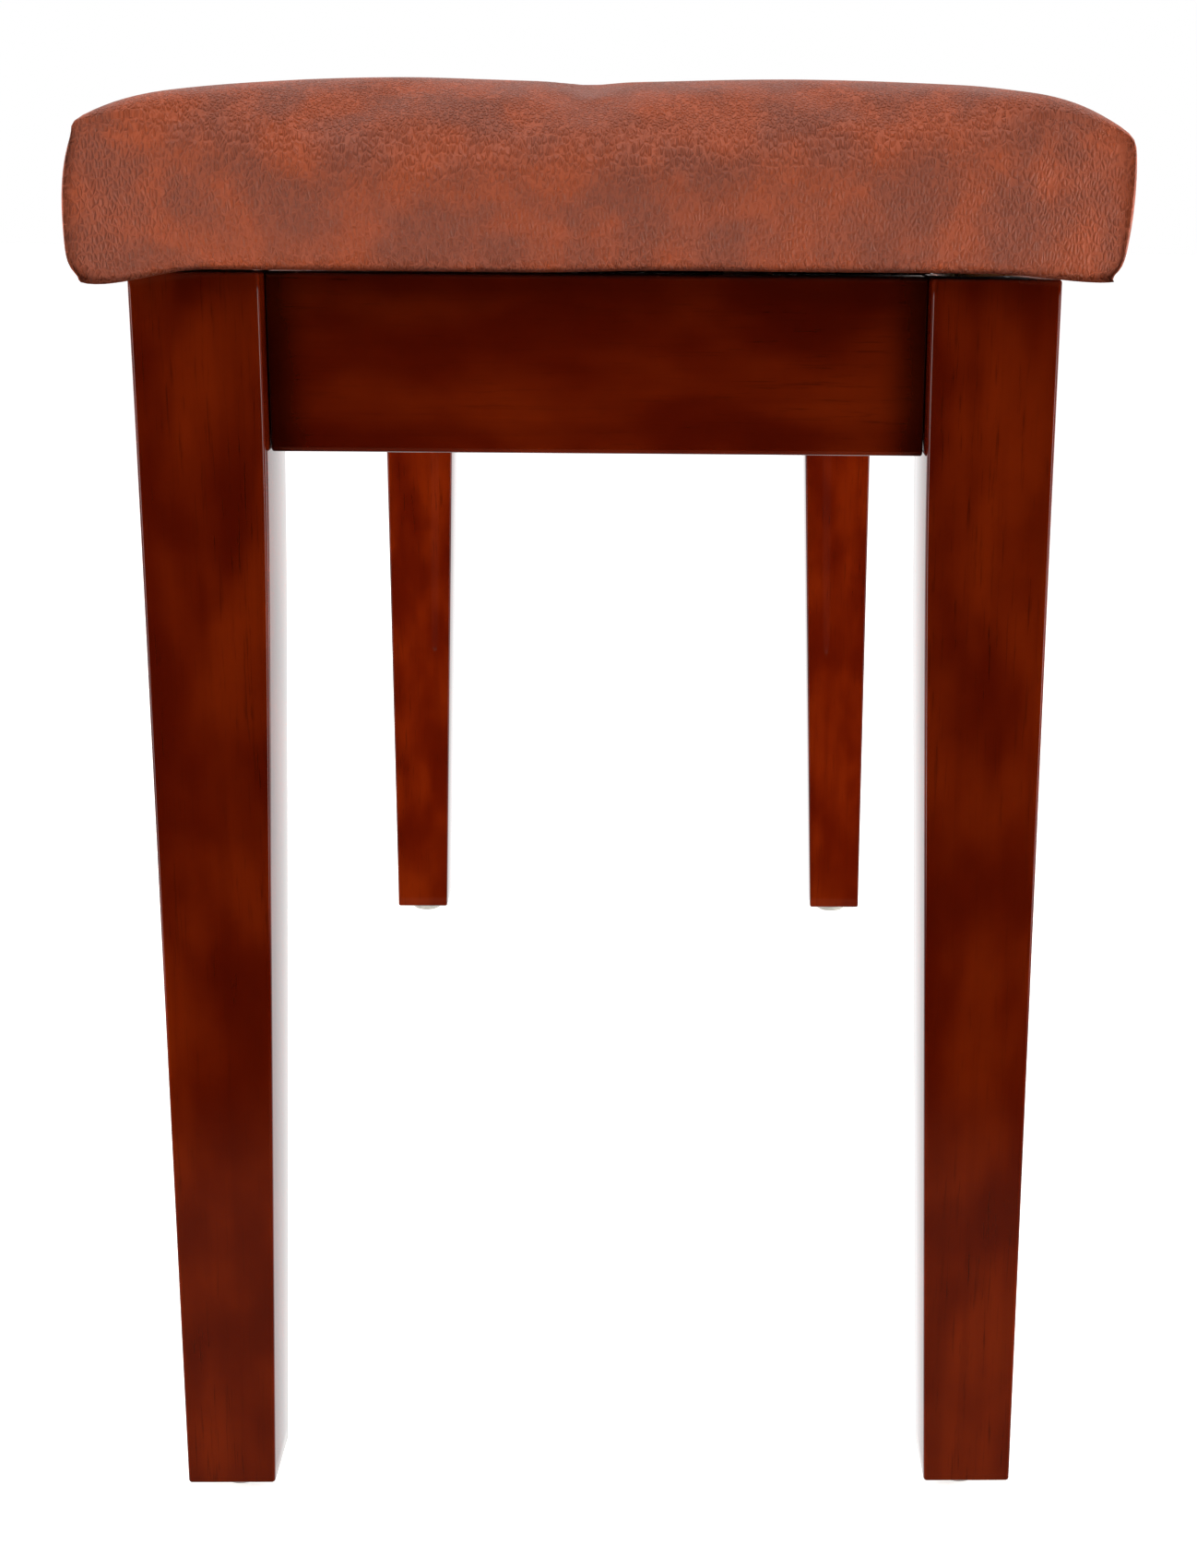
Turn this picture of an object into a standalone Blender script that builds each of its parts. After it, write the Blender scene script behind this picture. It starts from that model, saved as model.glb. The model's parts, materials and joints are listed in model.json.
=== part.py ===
"""Storage piano bench: a hinged, button-tufted seat on four tapered legs.

Metres, +Z up. X runs along the bench, Y across it, with the lid's hinges at +Y.
The origin is on the floor, under the centre of the seat.
"""
import math

import bmesh
import bpy
from mathutils import Matrix, Vector

# driving dimensions of the legs and the box between them
FRAME_LENGTH = 0.723          # over the outer faces of the legs, along X
FRAME_WIDTH = 0.302           # the same, along Y
LEG_TOP = 0.4435              # top of the legs and of the aprons
LEG_TOP_SIDE = 0.0425         # the leg is square, full size at its top
LEG_FOOT_SIDE = 0.032         # and this size at its foot, as its two inner faces slope back
TAPER_START = 0.372           # height where they begin to slope
TAPER_BLEND = 0.040           # how softly the slope begins
LEG_EDGE = 0.0014             # chamfer along the leg's edges
LEG_INNER_FLAT = 0.010        # how far the inner corner is cut back for the bolt
GLIDE_HEIGHT = 0.0052
GLIDE_RADIUS = 0.0095
APRON_HEIGHT = 0.0585
APRON_THICK = 0.018
APRON_RECESS = 0.009          # from the leg's outer face back to the apron's
FLOOR_THICK = 0.0035
FLOOR_LIFT = 0.0022           # from the apron's lower edge up to the floor
GROOVE_DEPTH = 0.005
GAP = 0.0003                  # left between pieces that touch

# corner brackets and the bolts that pull the legs in
BRACKET_THICK = 0.002
BRACKET_HEIGHT = 0.036
BRACKET_REACH = 0.028         # from the box's corner in to the bracket's web
BRACKET_FLANGE = 0.016
BOLT_RADIUS = 0.0037
BOLT_CLEARANCE = 0.0004
BOLT_IN_LEG = 0.022
NUT_RADIUS = 0.0072
NUT_HEIGHT = 0.0065
WASHER_RADIUS = 0.009
WASHER_THICK = 0.0016

# the lid
SEAT_LENGTH = 0.768
SEAT_WIDTH = 0.340
LID_GAP = 0.003               # between the box and the underside of the lid
SEAT_CREST = 0.505            # highest point of the cushion
SEAT_SHOULDER = 0.487         # height of the cushion's upper corners
SEAT_TUCK = 0.006             # how much narrower the cushion is at its lower edge
COVER_THICK = 0.0012
COVER_FLANGE = 0.030          # width of the cover folded under the board
FOAM_EASE = 0.0012            # room between the foam and the cover
BOARD_THICK = 0.012
BOARD_MARGIN = 0.010          # from the cover's side in to the board's edge
BOARD_EDGE = 0.002
LINING_THICK = 0.0006
LINING_MARGIN = 0.018

# tufting: a centre row of buttons and two side rows between them
CENTRE_BUTTONS = 5
BUTTON_PITCH = 0.140
BUTTON_ROW = 0.080
BUTTON_RADIUS = 0.011
BUTTON_HEIGHT = 0.006
DIMPLE_DEPTH = 0.012
DIMPLE_SPREAD = 0.024

# hinges on the back apron
HINGE_OFFSET = 0.230          # from the middle of the bench to a hinge's middle
HINGE_LENGTH = 0.060
HINGE_BEHIND = 0.001          # the pin lies this far behind the legs' back faces
HINGE_RISE = 0.0005           # and this far above their tops
KNUCKLE_RADIUS = 0.0021
KNUCKLES = 5
PIN_RADIUS = 0.0010
LEAF_THICK = 0.0009
LEAF_WIDTH = 0.024
HINGE_CLEARANCE = 0.0003

# folding stays, one beside each short apron; lid, arms and box form a parallelogram
STAY_DROP = 0.006             # from the hinge axis down to the lid's stud
STAY_BACK_ROOM = 0.0034       # between the box plate and the back bracket
STAY_FLOOR_ROOM = 0.0038      # between the folded elbow and the storage floor
ARM_HALF = 0.0055
ARM_THICK = 0.002
STUD_RADIUS = 0.0024
STUD_CLEARANCE = 0.0003
STUD_HEAD = 0.0044
HEAD_THICK = 0.0014
PLATE_THICK = 0.0015
PLATE_LENGTH = 0.026
PLATE_HEIGHT = 0.013
LID_FLANGE = 0.014

BUMPER_RADIUS = 0.0065
BUMPER_INSET = 0.021          # from the leg's outer faces to the bumper's middle

# places worked out from the sizes above
HALF_X = FRAME_LENGTH / 2
HALF_Y = FRAME_WIDTH / 2
APRON_FOOT = LEG_TOP - APRON_HEIGHT
BOX_X = HALF_X - APRON_RECESS - APRON_THICK
BOX_Y = HALF_Y - APRON_RECESS - APRON_THICK
LID_FOOT = LEG_TOP + LID_GAP
COVER_FOOT = LID_FOOT + LINING_THICK + GAP
BOARD_FOOT = COVER_FOOT + COVER_THICK + GAP
BOARD_TOP = BOARD_FOOT + BOARD_THICK
HINGE_Y = HALF_Y + HINGE_BEHIND
HINGE_Z = LEG_TOP + HINGE_RISE
FLOOR_TOP = APRON_FOOT + FLOOR_LIFT + FLOOR_THICK
BRACKET_CORNER = BRACKET_REACH * math.sqrt(2)                 # from the box's corner to the bend
BRACKET_FREE_Y = BOX_Y - BRACKET_CORNER - BRACKET_FLANGE      # bare wall between two brackets, halved
BRACKET_MIDDLE = (FLOOR_TOP + LEG_TOP) / 2

COLOURS = {                   # base colour, roughness, metallic
    "mahogany_lacquer": ((0.16, 0.022, 0.006, 1.0), 0.12, 0.0),
    "leatherette": ((0.30, 0.07, 0.03, 1.0), 0.45, 0.0),
    "plywood": ((0.55, 0.36, 0.20, 1.0), 0.6, 0.0),
    "hardboard": ((0.22, 0.11, 0.05, 1.0), 0.6, 0.0),
    "foam": ((0.80, 0.72, 0.50, 1.0), 0.9, 0.0),
    "lining": ((0.02, 0.02, 0.02, 1.0), 0.9, 0.0),
    "zinc_steel": ((0.55, 0.55, 0.53, 1.0), 0.3, 1.0),
    "brass_steel": ((0.55, 0.42, 0.20, 1.0), 0.3, 1.0),
    "glide_nylon": ((0.45, 0.45, 0.43, 1.0), 0.4, 0.0),
    "rubber": ((0.03, 0.03, 0.03, 1.0), 0.7, 0.0),
}


def clear_scene():
    for obj in list(bpy.data.objects):
        bpy.data.objects.remove(obj, do_unlink=True)


def material(name):
    found = bpy.data.materials.get(name)
    if found:
        return found
    colour, rough, metal = COLOURS[name]
    made = bpy.data.materials.new(name)
    made.use_nodes = True
    shader = made.node_tree.nodes["Principled BSDF"]
    shader.inputs["Base Color"].default_value = colour
    shader.inputs["Roughness"].default_value = rough
    shader.inputs["Metallic"].default_value = metal
    made.diffuse_color = colour
    return made


def add_object(name, bm, finish, smooth_angle=None):
    """Turn a bmesh into a named object with its material."""
    bmesh.ops.remove_doubles(bm, verts=bm.verts, dist=1e-7)
    bmesh.ops.recalc_face_normals(bm, faces=bm.faces)
    mesh = bpy.data.meshes.new(name)
    bm.to_mesh(mesh)
    bm.free()
    mesh.materials.append(material(finish))
    if smooth_angle:
        mesh.shade_smooth()
        mesh.set_sharp_from_angle(angle=smooth_angle)
    obj = bpy.data.objects.new(name, mesh)
    bpy.context.scene.collection.objects.link(obj)
    return obj


def skin_loops(bm, loops):
    """Close a stack of equal point loops into one body."""
    rings = [[bm.verts.new(point) for point in loop] for loop in loops]
    for lower, upper in zip(rings, rings[1:]):
        count = len(lower)
        for i in range(count):
            j = (i + 1) % count
            bm.faces.new((lower[i], lower[j], upper[j], upper[i]))
    bm.faces.new(list(reversed(rings[0])))
    bm.faces.new(rings[-1])


def prism(bm, outline, direction, start, end):
    """Extrude a flat outline; direction picks the axis it runs along."""
    def place(a, b, along):
        return {"x": (along, a, b), "y": (a, along, b), "z": (a, b, along)}[direction]
    skin_loops(bm, [[place(a, b, along) for a, b in outline] for along in (start, end)])


def turned(bm, profile, segments, axis_matrix):
    """Turn a profile of (radius, along) about local Z, then place it."""
    loops = []
    for radius, along in profile:
        loop = []
        for i in range(segments):
            angle = 2 * math.pi * (i + 0.5) / segments
            loop.append(axis_matrix @ Vector((radius * math.cos(angle), radius * math.sin(angle), along)))
        loops.append(loop)
    skin_loops(bm, loops)


def along_axis(origin, direction):
    """Matrix that puts local Z along direction at origin."""
    turn = Vector((0, 0, 1)).rotation_difference(Vector(direction).normalized())
    return Matrix.Translation(Vector(origin)) @ turn.to_matrix().to_4x4()


def apply_boolean(obj, cutter, operation="DIFFERENCE"):
    """Cut or join obj with another object, then remove that object."""
    step = obj.modifiers.new("cut", "BOOLEAN")
    step.operation = operation
    step.object = cutter
    step.solver = "EXACT"
    mesh = bpy.data.meshes.new_from_object(obj.evaluated_get(bpy.context.evaluated_depsgraph_get()))
    obj.modifiers.remove(step)
    obj.data = mesh
    bpy.data.objects.remove(cutter, do_unlink=True)


def cylinder_object(radius, start, end, segments=16):
    """A round cutter or rod between two points."""
    start, end = Vector(start), Vector(end)
    bm = bmesh.new()
    length = (end - start).length
    turned(bm, [(radius, 0.0), (radius, length)], segments, along_axis(start, end - start))
    return add_object("cutter", bm, "zinc_steel")


def leg_side(height):
    """Side of a leg's square at a height."""
    def sloped(z):
        return (TAPER_START - z + math.hypot(TAPER_START - z, TAPER_BLEND)) / 2
    top = sloped(LEG_TOP)
    share = max(0.0, sloped(height) - top) / (sloped(GLIDE_HEIGHT) - top)
    return LEG_TOP_SIDE + (LEG_FOOT_SIDE - LEG_TOP_SIDE) * share


def leg_loop(height, edge, inner_cut, sx, sy, shrink=0.0):
    """Plan of a leg at a height, with its edges chamfered and its inner corner cut back."""
    low, high = shrink, leg_side(height) - shrink
    outline = [
        (low + edge, low), (high - edge, low), (high, low + edge), (high, high - inner_cut),
        (high - inner_cut, high), (low + edge, high), (low, high - edge), (low, low + edge),
    ]
    return [(sx * (HALF_X - a), sy * (HALF_Y - b), height) for a, b in outline]


def corner_name(sx, sy):
    return ("right" if sx > 0 else "left") + "_" + ("back" if sy > 0 else "front")


def bolt_line(sx, sy):
    """A point on the bolt's axis at the box's corner, and the way out along it."""
    corner = Vector((sx * BOX_X, sy * BOX_Y, BRACKET_MIDDLE))
    return corner, Vector((sx, sy, 0)).normalized()


def bolt_tip_depth():
    """How far past the box's corner the bolt's tip reaches into the leg."""
    leg_corner = math.hypot(BOX_X - (HALF_X - LEG_TOP_SIDE), BOX_Y - (HALF_Y - LEG_TOP_SIDE))
    flat = leg_corner - LEG_INNER_FLAT / math.sqrt(2)
    return BOLT_IN_LEG - flat


def make_leg(sx, sy):
    shoulder = APRON_FOOT + 0.001
    foot = GLIDE_HEIGHT
    heights = [foot + LEG_EDGE, (foot + TAPER_START) / 2]
    heights += [TAPER_START - TAPER_BLEND * share for share in (1.0, 0.6, 0.2, -0.2)]
    heights = [height for height in heights if height < shoulder - LEG_EDGE]
    loops = [leg_loop(foot, LEG_EDGE, LEG_EDGE, sx, sy, LEG_EDGE)]
    loops += [leg_loop(height, LEG_EDGE, LEG_EDGE, sx, sy) for height in heights + [shoulder]]
    loops += [leg_loop(height, LEG_EDGE, LEG_INNER_FLAT, sx, sy) for height in (shoulder + LEG_INNER_FLAT, LEG_TOP)]
    bm = bmesh.new()
    skin_loops(bm, loops)
    leg = add_object("leg_" + corner_name(sx, sy), bm, "mahogany_lacquer")
    corner, out = bolt_line(sx, sy)
    hole_end = corner + out * (bolt_tip_depth() + 2 * BOLT_CLEARANCE)
    hole = cylinder_object(BOLT_RADIUS + BOLT_CLEARANCE, corner - out * BRACKET_REACH, hole_end, 12)
    apply_boolean(leg, hole)


def make_glide(sx, sy):
    centre = HALF_X - leg_side(GLIDE_HEIGHT) / 2, HALF_Y - leg_side(GLIDE_HEIGHT) / 2
    top = GLIDE_HEIGHT - GAP
    dome = [(GLIDE_RADIUS * math.cos(a), top * (0.72 - 0.72 * math.sin(a))) for a in
            [math.radians(d) for d in (60, 40, 20, 0)]]
    low = dome[0][1]
    profile = [(r, z - low) for r, z in dome] + [(GLIDE_RADIUS, top)]
    bm = bmesh.new()
    turned(bm, profile, 20, Matrix.Translation((sx * centre[0], sy * centre[1], 0.0)))
    add_object("foot_glide_" + corner_name(sx, sy), bm, "glide_nylon", math.radians(35))


def apron_section(outer, inward):
    """Section of an apron as (across, height), with a groove for the floor."""
    edge = LEG_EDGE * 0.7
    groove_low = APRON_FOOT + FLOOR_LIFT - GAP
    groove_high = groove_low + FLOOR_THICK + 2 * GAP
    inner = outer + inward * APRON_THICK
    deep = inner - inward * GROOVE_DEPTH
    return [
        (outer + inward * edge, APRON_FOOT), (inner, APRON_FOOT), (inner, groove_low), (deep, groove_low),
        (deep, groove_high), (inner, groove_high), (inner, LEG_TOP), (outer + inward * edge, LEG_TOP),
        (outer, LEG_TOP - edge), (outer, APRON_FOOT + edge),
    ]


def make_aprons():
    long_end = HALF_X - LEG_TOP_SIDE - GAP
    short_end = HALF_Y - LEG_TOP_SIDE - GAP
    for side, name in ((1, "back"), (-1, "front")):
        bm = bmesh.new()
        prism(bm, apron_section(side * (HALF_Y - APRON_RECESS), -side), "x", -long_end, long_end)
        add_object("apron_" + name, bm, "mahogany_lacquer")
    for side, name in ((1, "right"), (-1, "left")):
        bm = bmesh.new()
        prism(bm, apron_section(side * (HALF_X - APRON_RECESS), -side), "y", -short_end, short_end)
        add_object("apron_" + name, bm, "mahogany_lacquer")


def make_floor():
    """Hardboard floor in the aprons' grooves, notched round the legs."""
    reach_x = BOX_X + GROOVE_DEPTH - GAP
    reach_y = BOX_Y + GROOVE_DEPTH - GAP
    notch_x = HALF_X - LEG_TOP_SIDE - 2 * GAP
    notch_y = HALF_Y - LEG_TOP_SIDE - 2 * GAP
    outline = []
    for sx, sy in ((1, 1), (-1, 1), (-1, -1), (1, -1)):
        steps = [(notch_x, reach_y), (notch_x, notch_y), (reach_x, notch_y)]
        if sx * sy > 0:
            steps.reverse()
        outline += [(sx * a, sy * b) for a, b in steps]
    bm = bmesh.new()
    prism(bm, outline, "z", FLOOR_TOP - FLOOR_THICK, FLOOR_TOP)
    add_object("storage_floor", bm, "hardboard")


def strip_outline(path, thick):
    """Outline of a bent strip whose outer side follows the path; it thickens to the left."""
    shifted = []
    for i, point in enumerate(path):
        sides = []
        if i > 0:
            sides.append((point - path[i - 1]).normalized())
        if i < len(path) - 1:
            sides.append((path[i + 1] - point).normalized())
        normals = [Vector((-d.y, d.x)) for d in sides]
        total = sum(normals, Vector((0, 0)))
        mitre = total.normalized()
        shifted.append(point + mitre * (thick / mitre.dot(normals[0])))
    return list(path) + list(reversed(shifted))


def make_bracket(sx, sy):
    """Pressed steel corner bracket: a web across the corner and two flanges on the aprons."""
    far = BRACKET_CORNER
    face_x, face_y = BOX_X - GAP, BOX_Y - GAP
    path = [
        Vector((face_x, face_y - far - BRACKET_FLANGE)), Vector((face_x, face_y - far)),
        Vector((face_x - far, face_y)), Vector((face_x - far - BRACKET_FLANGE, face_y)),
    ]
    outline = strip_outline(path, BRACKET_THICK)
    low = BRACKET_MIDDLE - BRACKET_HEIGHT / 2
    bm = bmesh.new()
    prism(bm, [(sx * p.x, sy * p.y) for p in outline], "z", low, low + BRACKET_HEIGHT)
    bracket = add_object("corner_bracket_" + corner_name(sx, sy), bm, "zinc_steel")
    corner, out = bolt_line(sx, sy)
    reach = BRACKET_REACH + BRACKET_THICK
    apply_boolean(bracket, cylinder_object(BOLT_RADIUS + BOLT_CLEARANCE, corner - out * (reach + 0.006),
                                           corner - out * (BRACKET_REACH - 0.006), 12))


def make_leg_bolt(sx, sy):
    """Bolt with washer and hexagon nut as one body; local Z points into the leg."""
    corner, out = bolt_line(sx, sy)
    web = BRACKET_REACH + BRACKET_THICK + 2 * GAP
    nut_side = web + WASHER_THICK
    bm = bmesh.new()
    profile = [
        (BOLT_RADIUS, -nut_side - NUT_HEIGHT - 0.006), (BOLT_RADIUS, -nut_side - NUT_HEIGHT),
        (NUT_RADIUS, -nut_side - NUT_HEIGHT), (NUT_RADIUS, -nut_side), (WASHER_RADIUS, -nut_side),
        (WASHER_RADIUS, -web), (BOLT_RADIUS, -web), (BOLT_RADIUS, bolt_tip_depth() - 0.002),
        (BOLT_RADIUS * 0.5, bolt_tip_depth()),
    ]
    turned(bm, profile, 12, along_axis(corner, out))
    add_object("leg_bolt_" + corner_name(sx, sy), bm, "zinc_steel", math.radians(35))


def button_places():
    """Plan positions of the tufting buttons, row by row."""
    places = []
    for row, count in ((-1, CENTRE_BUTTONS - 1), (0, CENTRE_BUTTONS), (1, CENTRE_BUTTONS - 1)):
        for i in range(count):
            places.append(((i - (count - 1) / 2) * BUTTON_PITCH, row * BUTTON_ROW))
    return places


def cushion_half(z, size):
    """Half-length or half-width of the cushion at a height: fullest at mid side."""
    middle = (COVER_FOOT + SEAT_SHOULDER) / 2
    share = (z - middle) / (SEAT_SHOULDER - middle)
    return size / 2 - SEAT_TUCK * share * share


def cushion_top(x, y):
    """Height of the cushion's upper skin: a soft crown with a dimple at each button."""
    def crown(value, size):
        return math.sqrt(max(0.0, 1 - (abs(value) / cushion_half(SEAT_SHOULDER, size)) ** 4))
    height = SEAT_SHOULDER + (SEAT_CREST - SEAT_SHOULDER) * crown(x, SEAT_LENGTH) * crown(y, SEAT_WIDTH)
    for bx, by in button_places():
        height -= DIMPLE_DEPTH * math.exp(-((x - bx) ** 2 + (y - by) ** 2) / DIMPLE_SPREAD ** 2)
    return height


def grid_lines(size, pitch):
    """Lines across the cushion: its edges, the folded flange's edge, and the button grid."""
    edge = cushion_half(SEAT_SHOULDER, size)
    flange = edge - COVER_FLANGE
    lines = [k * pitch for k in range(-40, 41) if abs(k * pitch) < flange - pitch * 0.3]
    return [-edge, -flange] + lines + [flange, edge]


def cushion_skin(bm, inset, foot, window):
    """One skin of the cushion, set in by inset, from foot up; window leaves the underside open."""
    xs = grid_lines(SEAT_LENGTH, BUTTON_PITCH / 4)
    ys = grid_lines(SEAT_WIDTH, BUTTON_ROW / 2)
    levels = 3
    verts = {}

    def place(i, j, k):
        z = foot + (SEAT_SHOULDER - inset - foot) * k / levels
        x, y = xs[i], ys[j]
        if i in (0, len(xs) - 1):
            x = math.copysign(cushion_half(z, SEAT_LENGTH) - inset, x)
        if j in (0, len(ys) - 1):
            y = math.copysign(cushion_half(z, SEAT_WIDTH) - inset, y)
        if k == levels and 0 < i < len(xs) - 1 and 0 < j < len(ys) - 1:
            z = cushion_top(x, y) - inset
        return x, y, z

    def vert(i, j, k):
        if (i, j, k) not in verts:
            verts[i, j, k] = bm.verts.new(place(i, j, k))
        return verts[i, j, k]

    nx, ny = len(xs) - 1, len(ys) - 1
    for i in range(nx):
        for j in range(ny):
            bm.faces.new((vert(i, j, levels), vert(i + 1, j, levels), vert(i + 1, j + 1, levels),
                          vert(i, j + 1, levels)))
            if not (window and 0 < i < nx - 1 and 0 < j < ny - 1):
                bm.faces.new((vert(i, j, 0), vert(i, j + 1, 0), vert(i + 1, j + 1, 0), vert(i + 1, j, 0)))
    for k in range(levels):
        for i in range(nx):
            bm.faces.new((vert(i, 0, k), vert(i + 1, 0, k), vert(i + 1, 0, k + 1), vert(i, 0, k + 1)))
            bm.faces.new((vert(i, ny, k), vert(i, ny, k + 1), vert(i + 1, ny, k + 1), vert(i + 1, ny, k)))
        for j in range(ny):
            bm.faces.new((vert(0, j, k), vert(0, j, k + 1), vert(0, j + 1, k + 1), vert(0, j + 1, k)))
            bm.faces.new((vert(nx, j, k), vert(nx, j + 1, k), vert(nx, j + 1, k + 1), vert(nx, j, k + 1)))
    rim = [(i, 1) for i in range(1, nx - 1)] + [(nx - 1, j) for j in range(1, ny - 1)]
    rim += [(i, ny - 1) for i in range(nx - 1, 1, -1)] + [(1, j) for j in range(ny - 1, 1, -1)]
    return [vert(i, j, 0) for i, j in rim]


def make_cover():
    """Leatherette cover: an outer and an inner skin joined round the opening underneath."""
    bm = bmesh.new()
    outer = cushion_skin(bm, 0.0, COVER_FOOT, True)
    inner = cushion_skin(bm, COVER_THICK, COVER_FOOT + COVER_THICK, True)
    for i in range(len(outer)):
        j = (i + 1) % len(outer)
        bm.faces.new((outer[i], outer[j], inner[j], inner[i]))
    add_object("seat_cover", bm, "leatherette", math.radians(50))


def make_foam():
    bm = bmesh.new()
    cushion_skin(bm, COVER_THICK + FOAM_EASE, BOARD_TOP + GAP, False)
    add_object("foam_pad", bm, "foam", math.radians(50))


def bevelled_slab(name, half_x, half_y, low, high, edge, finish):
    bm = bmesh.new()
    bmesh.ops.create_cube(bm, size=1.0)
    for vert in bm.verts:
        vert.co.x *= 2 * half_x
        vert.co.y *= 2 * half_y
        vert.co.z = low if vert.co.z < 0 else high
    if edge:
        bmesh.ops.bevel(bm, geom=bm.edges[:], offset=edge, segments=1, affect="EDGES")
    return add_object(name, bm, finish)


def make_board_and_lining():
    half_x = cushion_half(BOARD_FOOT, SEAT_LENGTH) - BOARD_MARGIN
    half_y = cushion_half(BOARD_FOOT, SEAT_WIDTH) - BOARD_MARGIN
    bevelled_slab("seat_board", half_x, half_y, BOARD_FOOT, BOARD_TOP, BOARD_EDGE, "plywood")
    edge_x = cushion_half(COVER_FOOT, SEAT_LENGTH) - LINING_MARGIN
    edge_y = cushion_half(COVER_FOOT, SEAT_WIDTH) - LINING_MARGIN
    bevelled_slab("underside_lining", edge_x, edge_y, LID_FOOT, LID_FOOT + LINING_THICK, 0.0, "lining")


def dimple_slope(x, y):
    """Steepest rise of the faceted skin away from a button's place."""
    step_x, step_y = BUTTON_PITCH / 4, BUTTON_ROW / 2
    steps = [(i * step_x, j * step_y) for i in (-1, 0, 1) for j in (-1, 0, 1) if i or j]
    return max((cushion_top(x + a, y + b) - cushion_top(x, y)) / min(step_x, step_y) for a, b in steps)


def make_buttons():
    """Covered buttons, lens-shaped, each resting on the rim of its dimple."""
    shank = BUTTON_RADIUS * 0.12
    for number, (x, y) in enumerate(button_places(), start=1):
        slope = 1.15 * dimple_slope(x, y)
        foot = cushion_top(x, y) + 2 * GAP
        rim = foot + slope * BUTTON_RADIUS
        dome = [(BUTTON_RADIUS * math.cos(a), rim + GAP + (BUTTON_HEIGHT - 0.002) * math.sin(a)) for a in
                [math.radians(d) for d in (0, 30, 55, 78)]]
        profile = [(shank, foot + slope * shank), (BUTTON_RADIUS * 0.97, rim)] + dome
        bm = bmesh.new()
        turned(bm, profile, 16, Matrix.Translation((x, y, 0.0)))
        add_object("tuft_button_%02d" % number, bm, "leatherette", math.radians(50))


def hinge_leaf(name, centre_x, lid):
    """One leaf of a butt hinge: a plate with its share of the knuckles, bored for the pin."""
    pitch = HINGE_LENGTH / KNUCKLES
    start = centre_x - HINGE_LENGTH / 2
    if lid:
        low = LID_FOOT - GAP - LEAF_THICK
    else:
        low = LEG_TOP + GAP
    front = HINGE_Y - LEAF_WIDTH
    body = bevelled_slab(name, HINGE_LENGTH / 2, (LEAF_WIDTH - KNUCKLE_RADIUS - HINGE_CLEARANCE) / 2,
                         low, low + LEAF_THICK, 0.0, "brass_steel")
    middle_y = front + (LEAF_WIDTH - KNUCKLE_RADIUS - HINGE_CLEARANCE) / 2
    body.data.transform(Matrix.Translation((centre_x, middle_y, 0.0)))
    first = 1 if lid else 0
    for i in range(first, KNUCKLES, 2):
        left = start + i * pitch + HINGE_CLEARANCE / 2
        right = left + pitch - HINGE_CLEARANCE
        neck = bevelled_slab("neck", (right - left) / 2, 0.004, low, low + LEAF_THICK, 0.0, "brass_steel")
        neck.data.transform(Matrix.Translation(((left + right) / 2, HINGE_Y - 0.004, 0.0)))
        apply_boolean(body, neck, "UNION")
        barrel = cylinder_object(KNUCKLE_RADIUS, (left, HINGE_Y, HINGE_Z), (right, HINGE_Y, HINGE_Z), 16)
        apply_boolean(body, barrel, "UNION")
    bore = cylinder_object(PIN_RADIUS + HINGE_CLEARANCE, (start - 0.002, HINGE_Y, HINGE_Z),
                           (start + HINGE_LENGTH + 0.002, HINGE_Y, HINGE_Z), 16)
    apply_boolean(body, bore)


def make_hinge(side, name):
    centre_x = side * HINGE_OFFSET
    hinge_leaf("hinge_box_leaf_" + name, centre_x, False)
    hinge_leaf("hinge_lid_leaf_" + name, centre_x, True)
    head = 0.0012
    reach = HINGE_LENGTH / 2 + HINGE_CLEARANCE
    profile = [
        (PIN_RADIUS * 1.6, -reach - head), (PIN_RADIUS * 1.6, -reach), (PIN_RADIUS, -reach),
        (PIN_RADIUS, reach), (PIN_RADIUS * 1.6, reach), (PIN_RADIUS * 1.6, reach + head),
    ]
    bm = bmesh.new()
    turned(bm, profile, 16, along_axis((centre_x, HINGE_Y, HINGE_Z), (1, 0, 0)))
    add_object("hinge_pin_" + name, bm, "brass_steel", math.radians(35))


def stay_points():
    """Pivots of a stay at rest, as (y, z): on the lid, on the box, and the elbow.

    The box stud sits between the brackets, and the folded stay is centred in the box.
    """
    box = Vector((BRACKET_FREE_Y - STAY_BACK_ROOM - PLATE_LENGTH / 2,
                  FLOOR_TOP + STAY_FLOOR_ROOM + ARM_HALF + STAY_DROP))
    reach = (HINGE_Y + box.x) / 2
    lid = Vector((HINGE_Y - reach, HINGE_Z - STAY_DROP))
    elbow = Vector((box.x - reach, box.y - STAY_DROP))
    return lid, box, elbow


def arm_outline(start, end):
    """Flat bar with round ends about two pivots."""
    along = (end - start).normalized()
    heading = math.atan2(along.y, along.x)
    outline = []
    for centre, first in ((end, heading - math.pi / 2), (start, heading + math.pi / 2)):
        for i in range(9):
            angle = first + math.pi * i / 8
            outline.append((centre.x + ARM_HALF * math.cos(angle), centre.y + ARM_HALF * math.sin(angle)))
    return outline


def make_bar(name, side, start, end, layer, holes, finish="zinc_steel"):
    """A stay arm in its layer; holes are the pivots that are bored through it."""
    bm = bmesh.new()
    low, high = sorted((side * layer, side * (layer - ARM_THICK)))
    prism(bm, arm_outline(start, end), "x", low, high)
    bar = add_object(name, bm, finish)
    for hole in holes:
        cutter = cylinder_object(STUD_RADIUS + STUD_CLEARANCE, (low - 0.002, hole.x, hole.y),
                                 (high + 0.002, hole.x, hole.y))
        apply_boolean(bar, cutter)
    return bar


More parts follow.
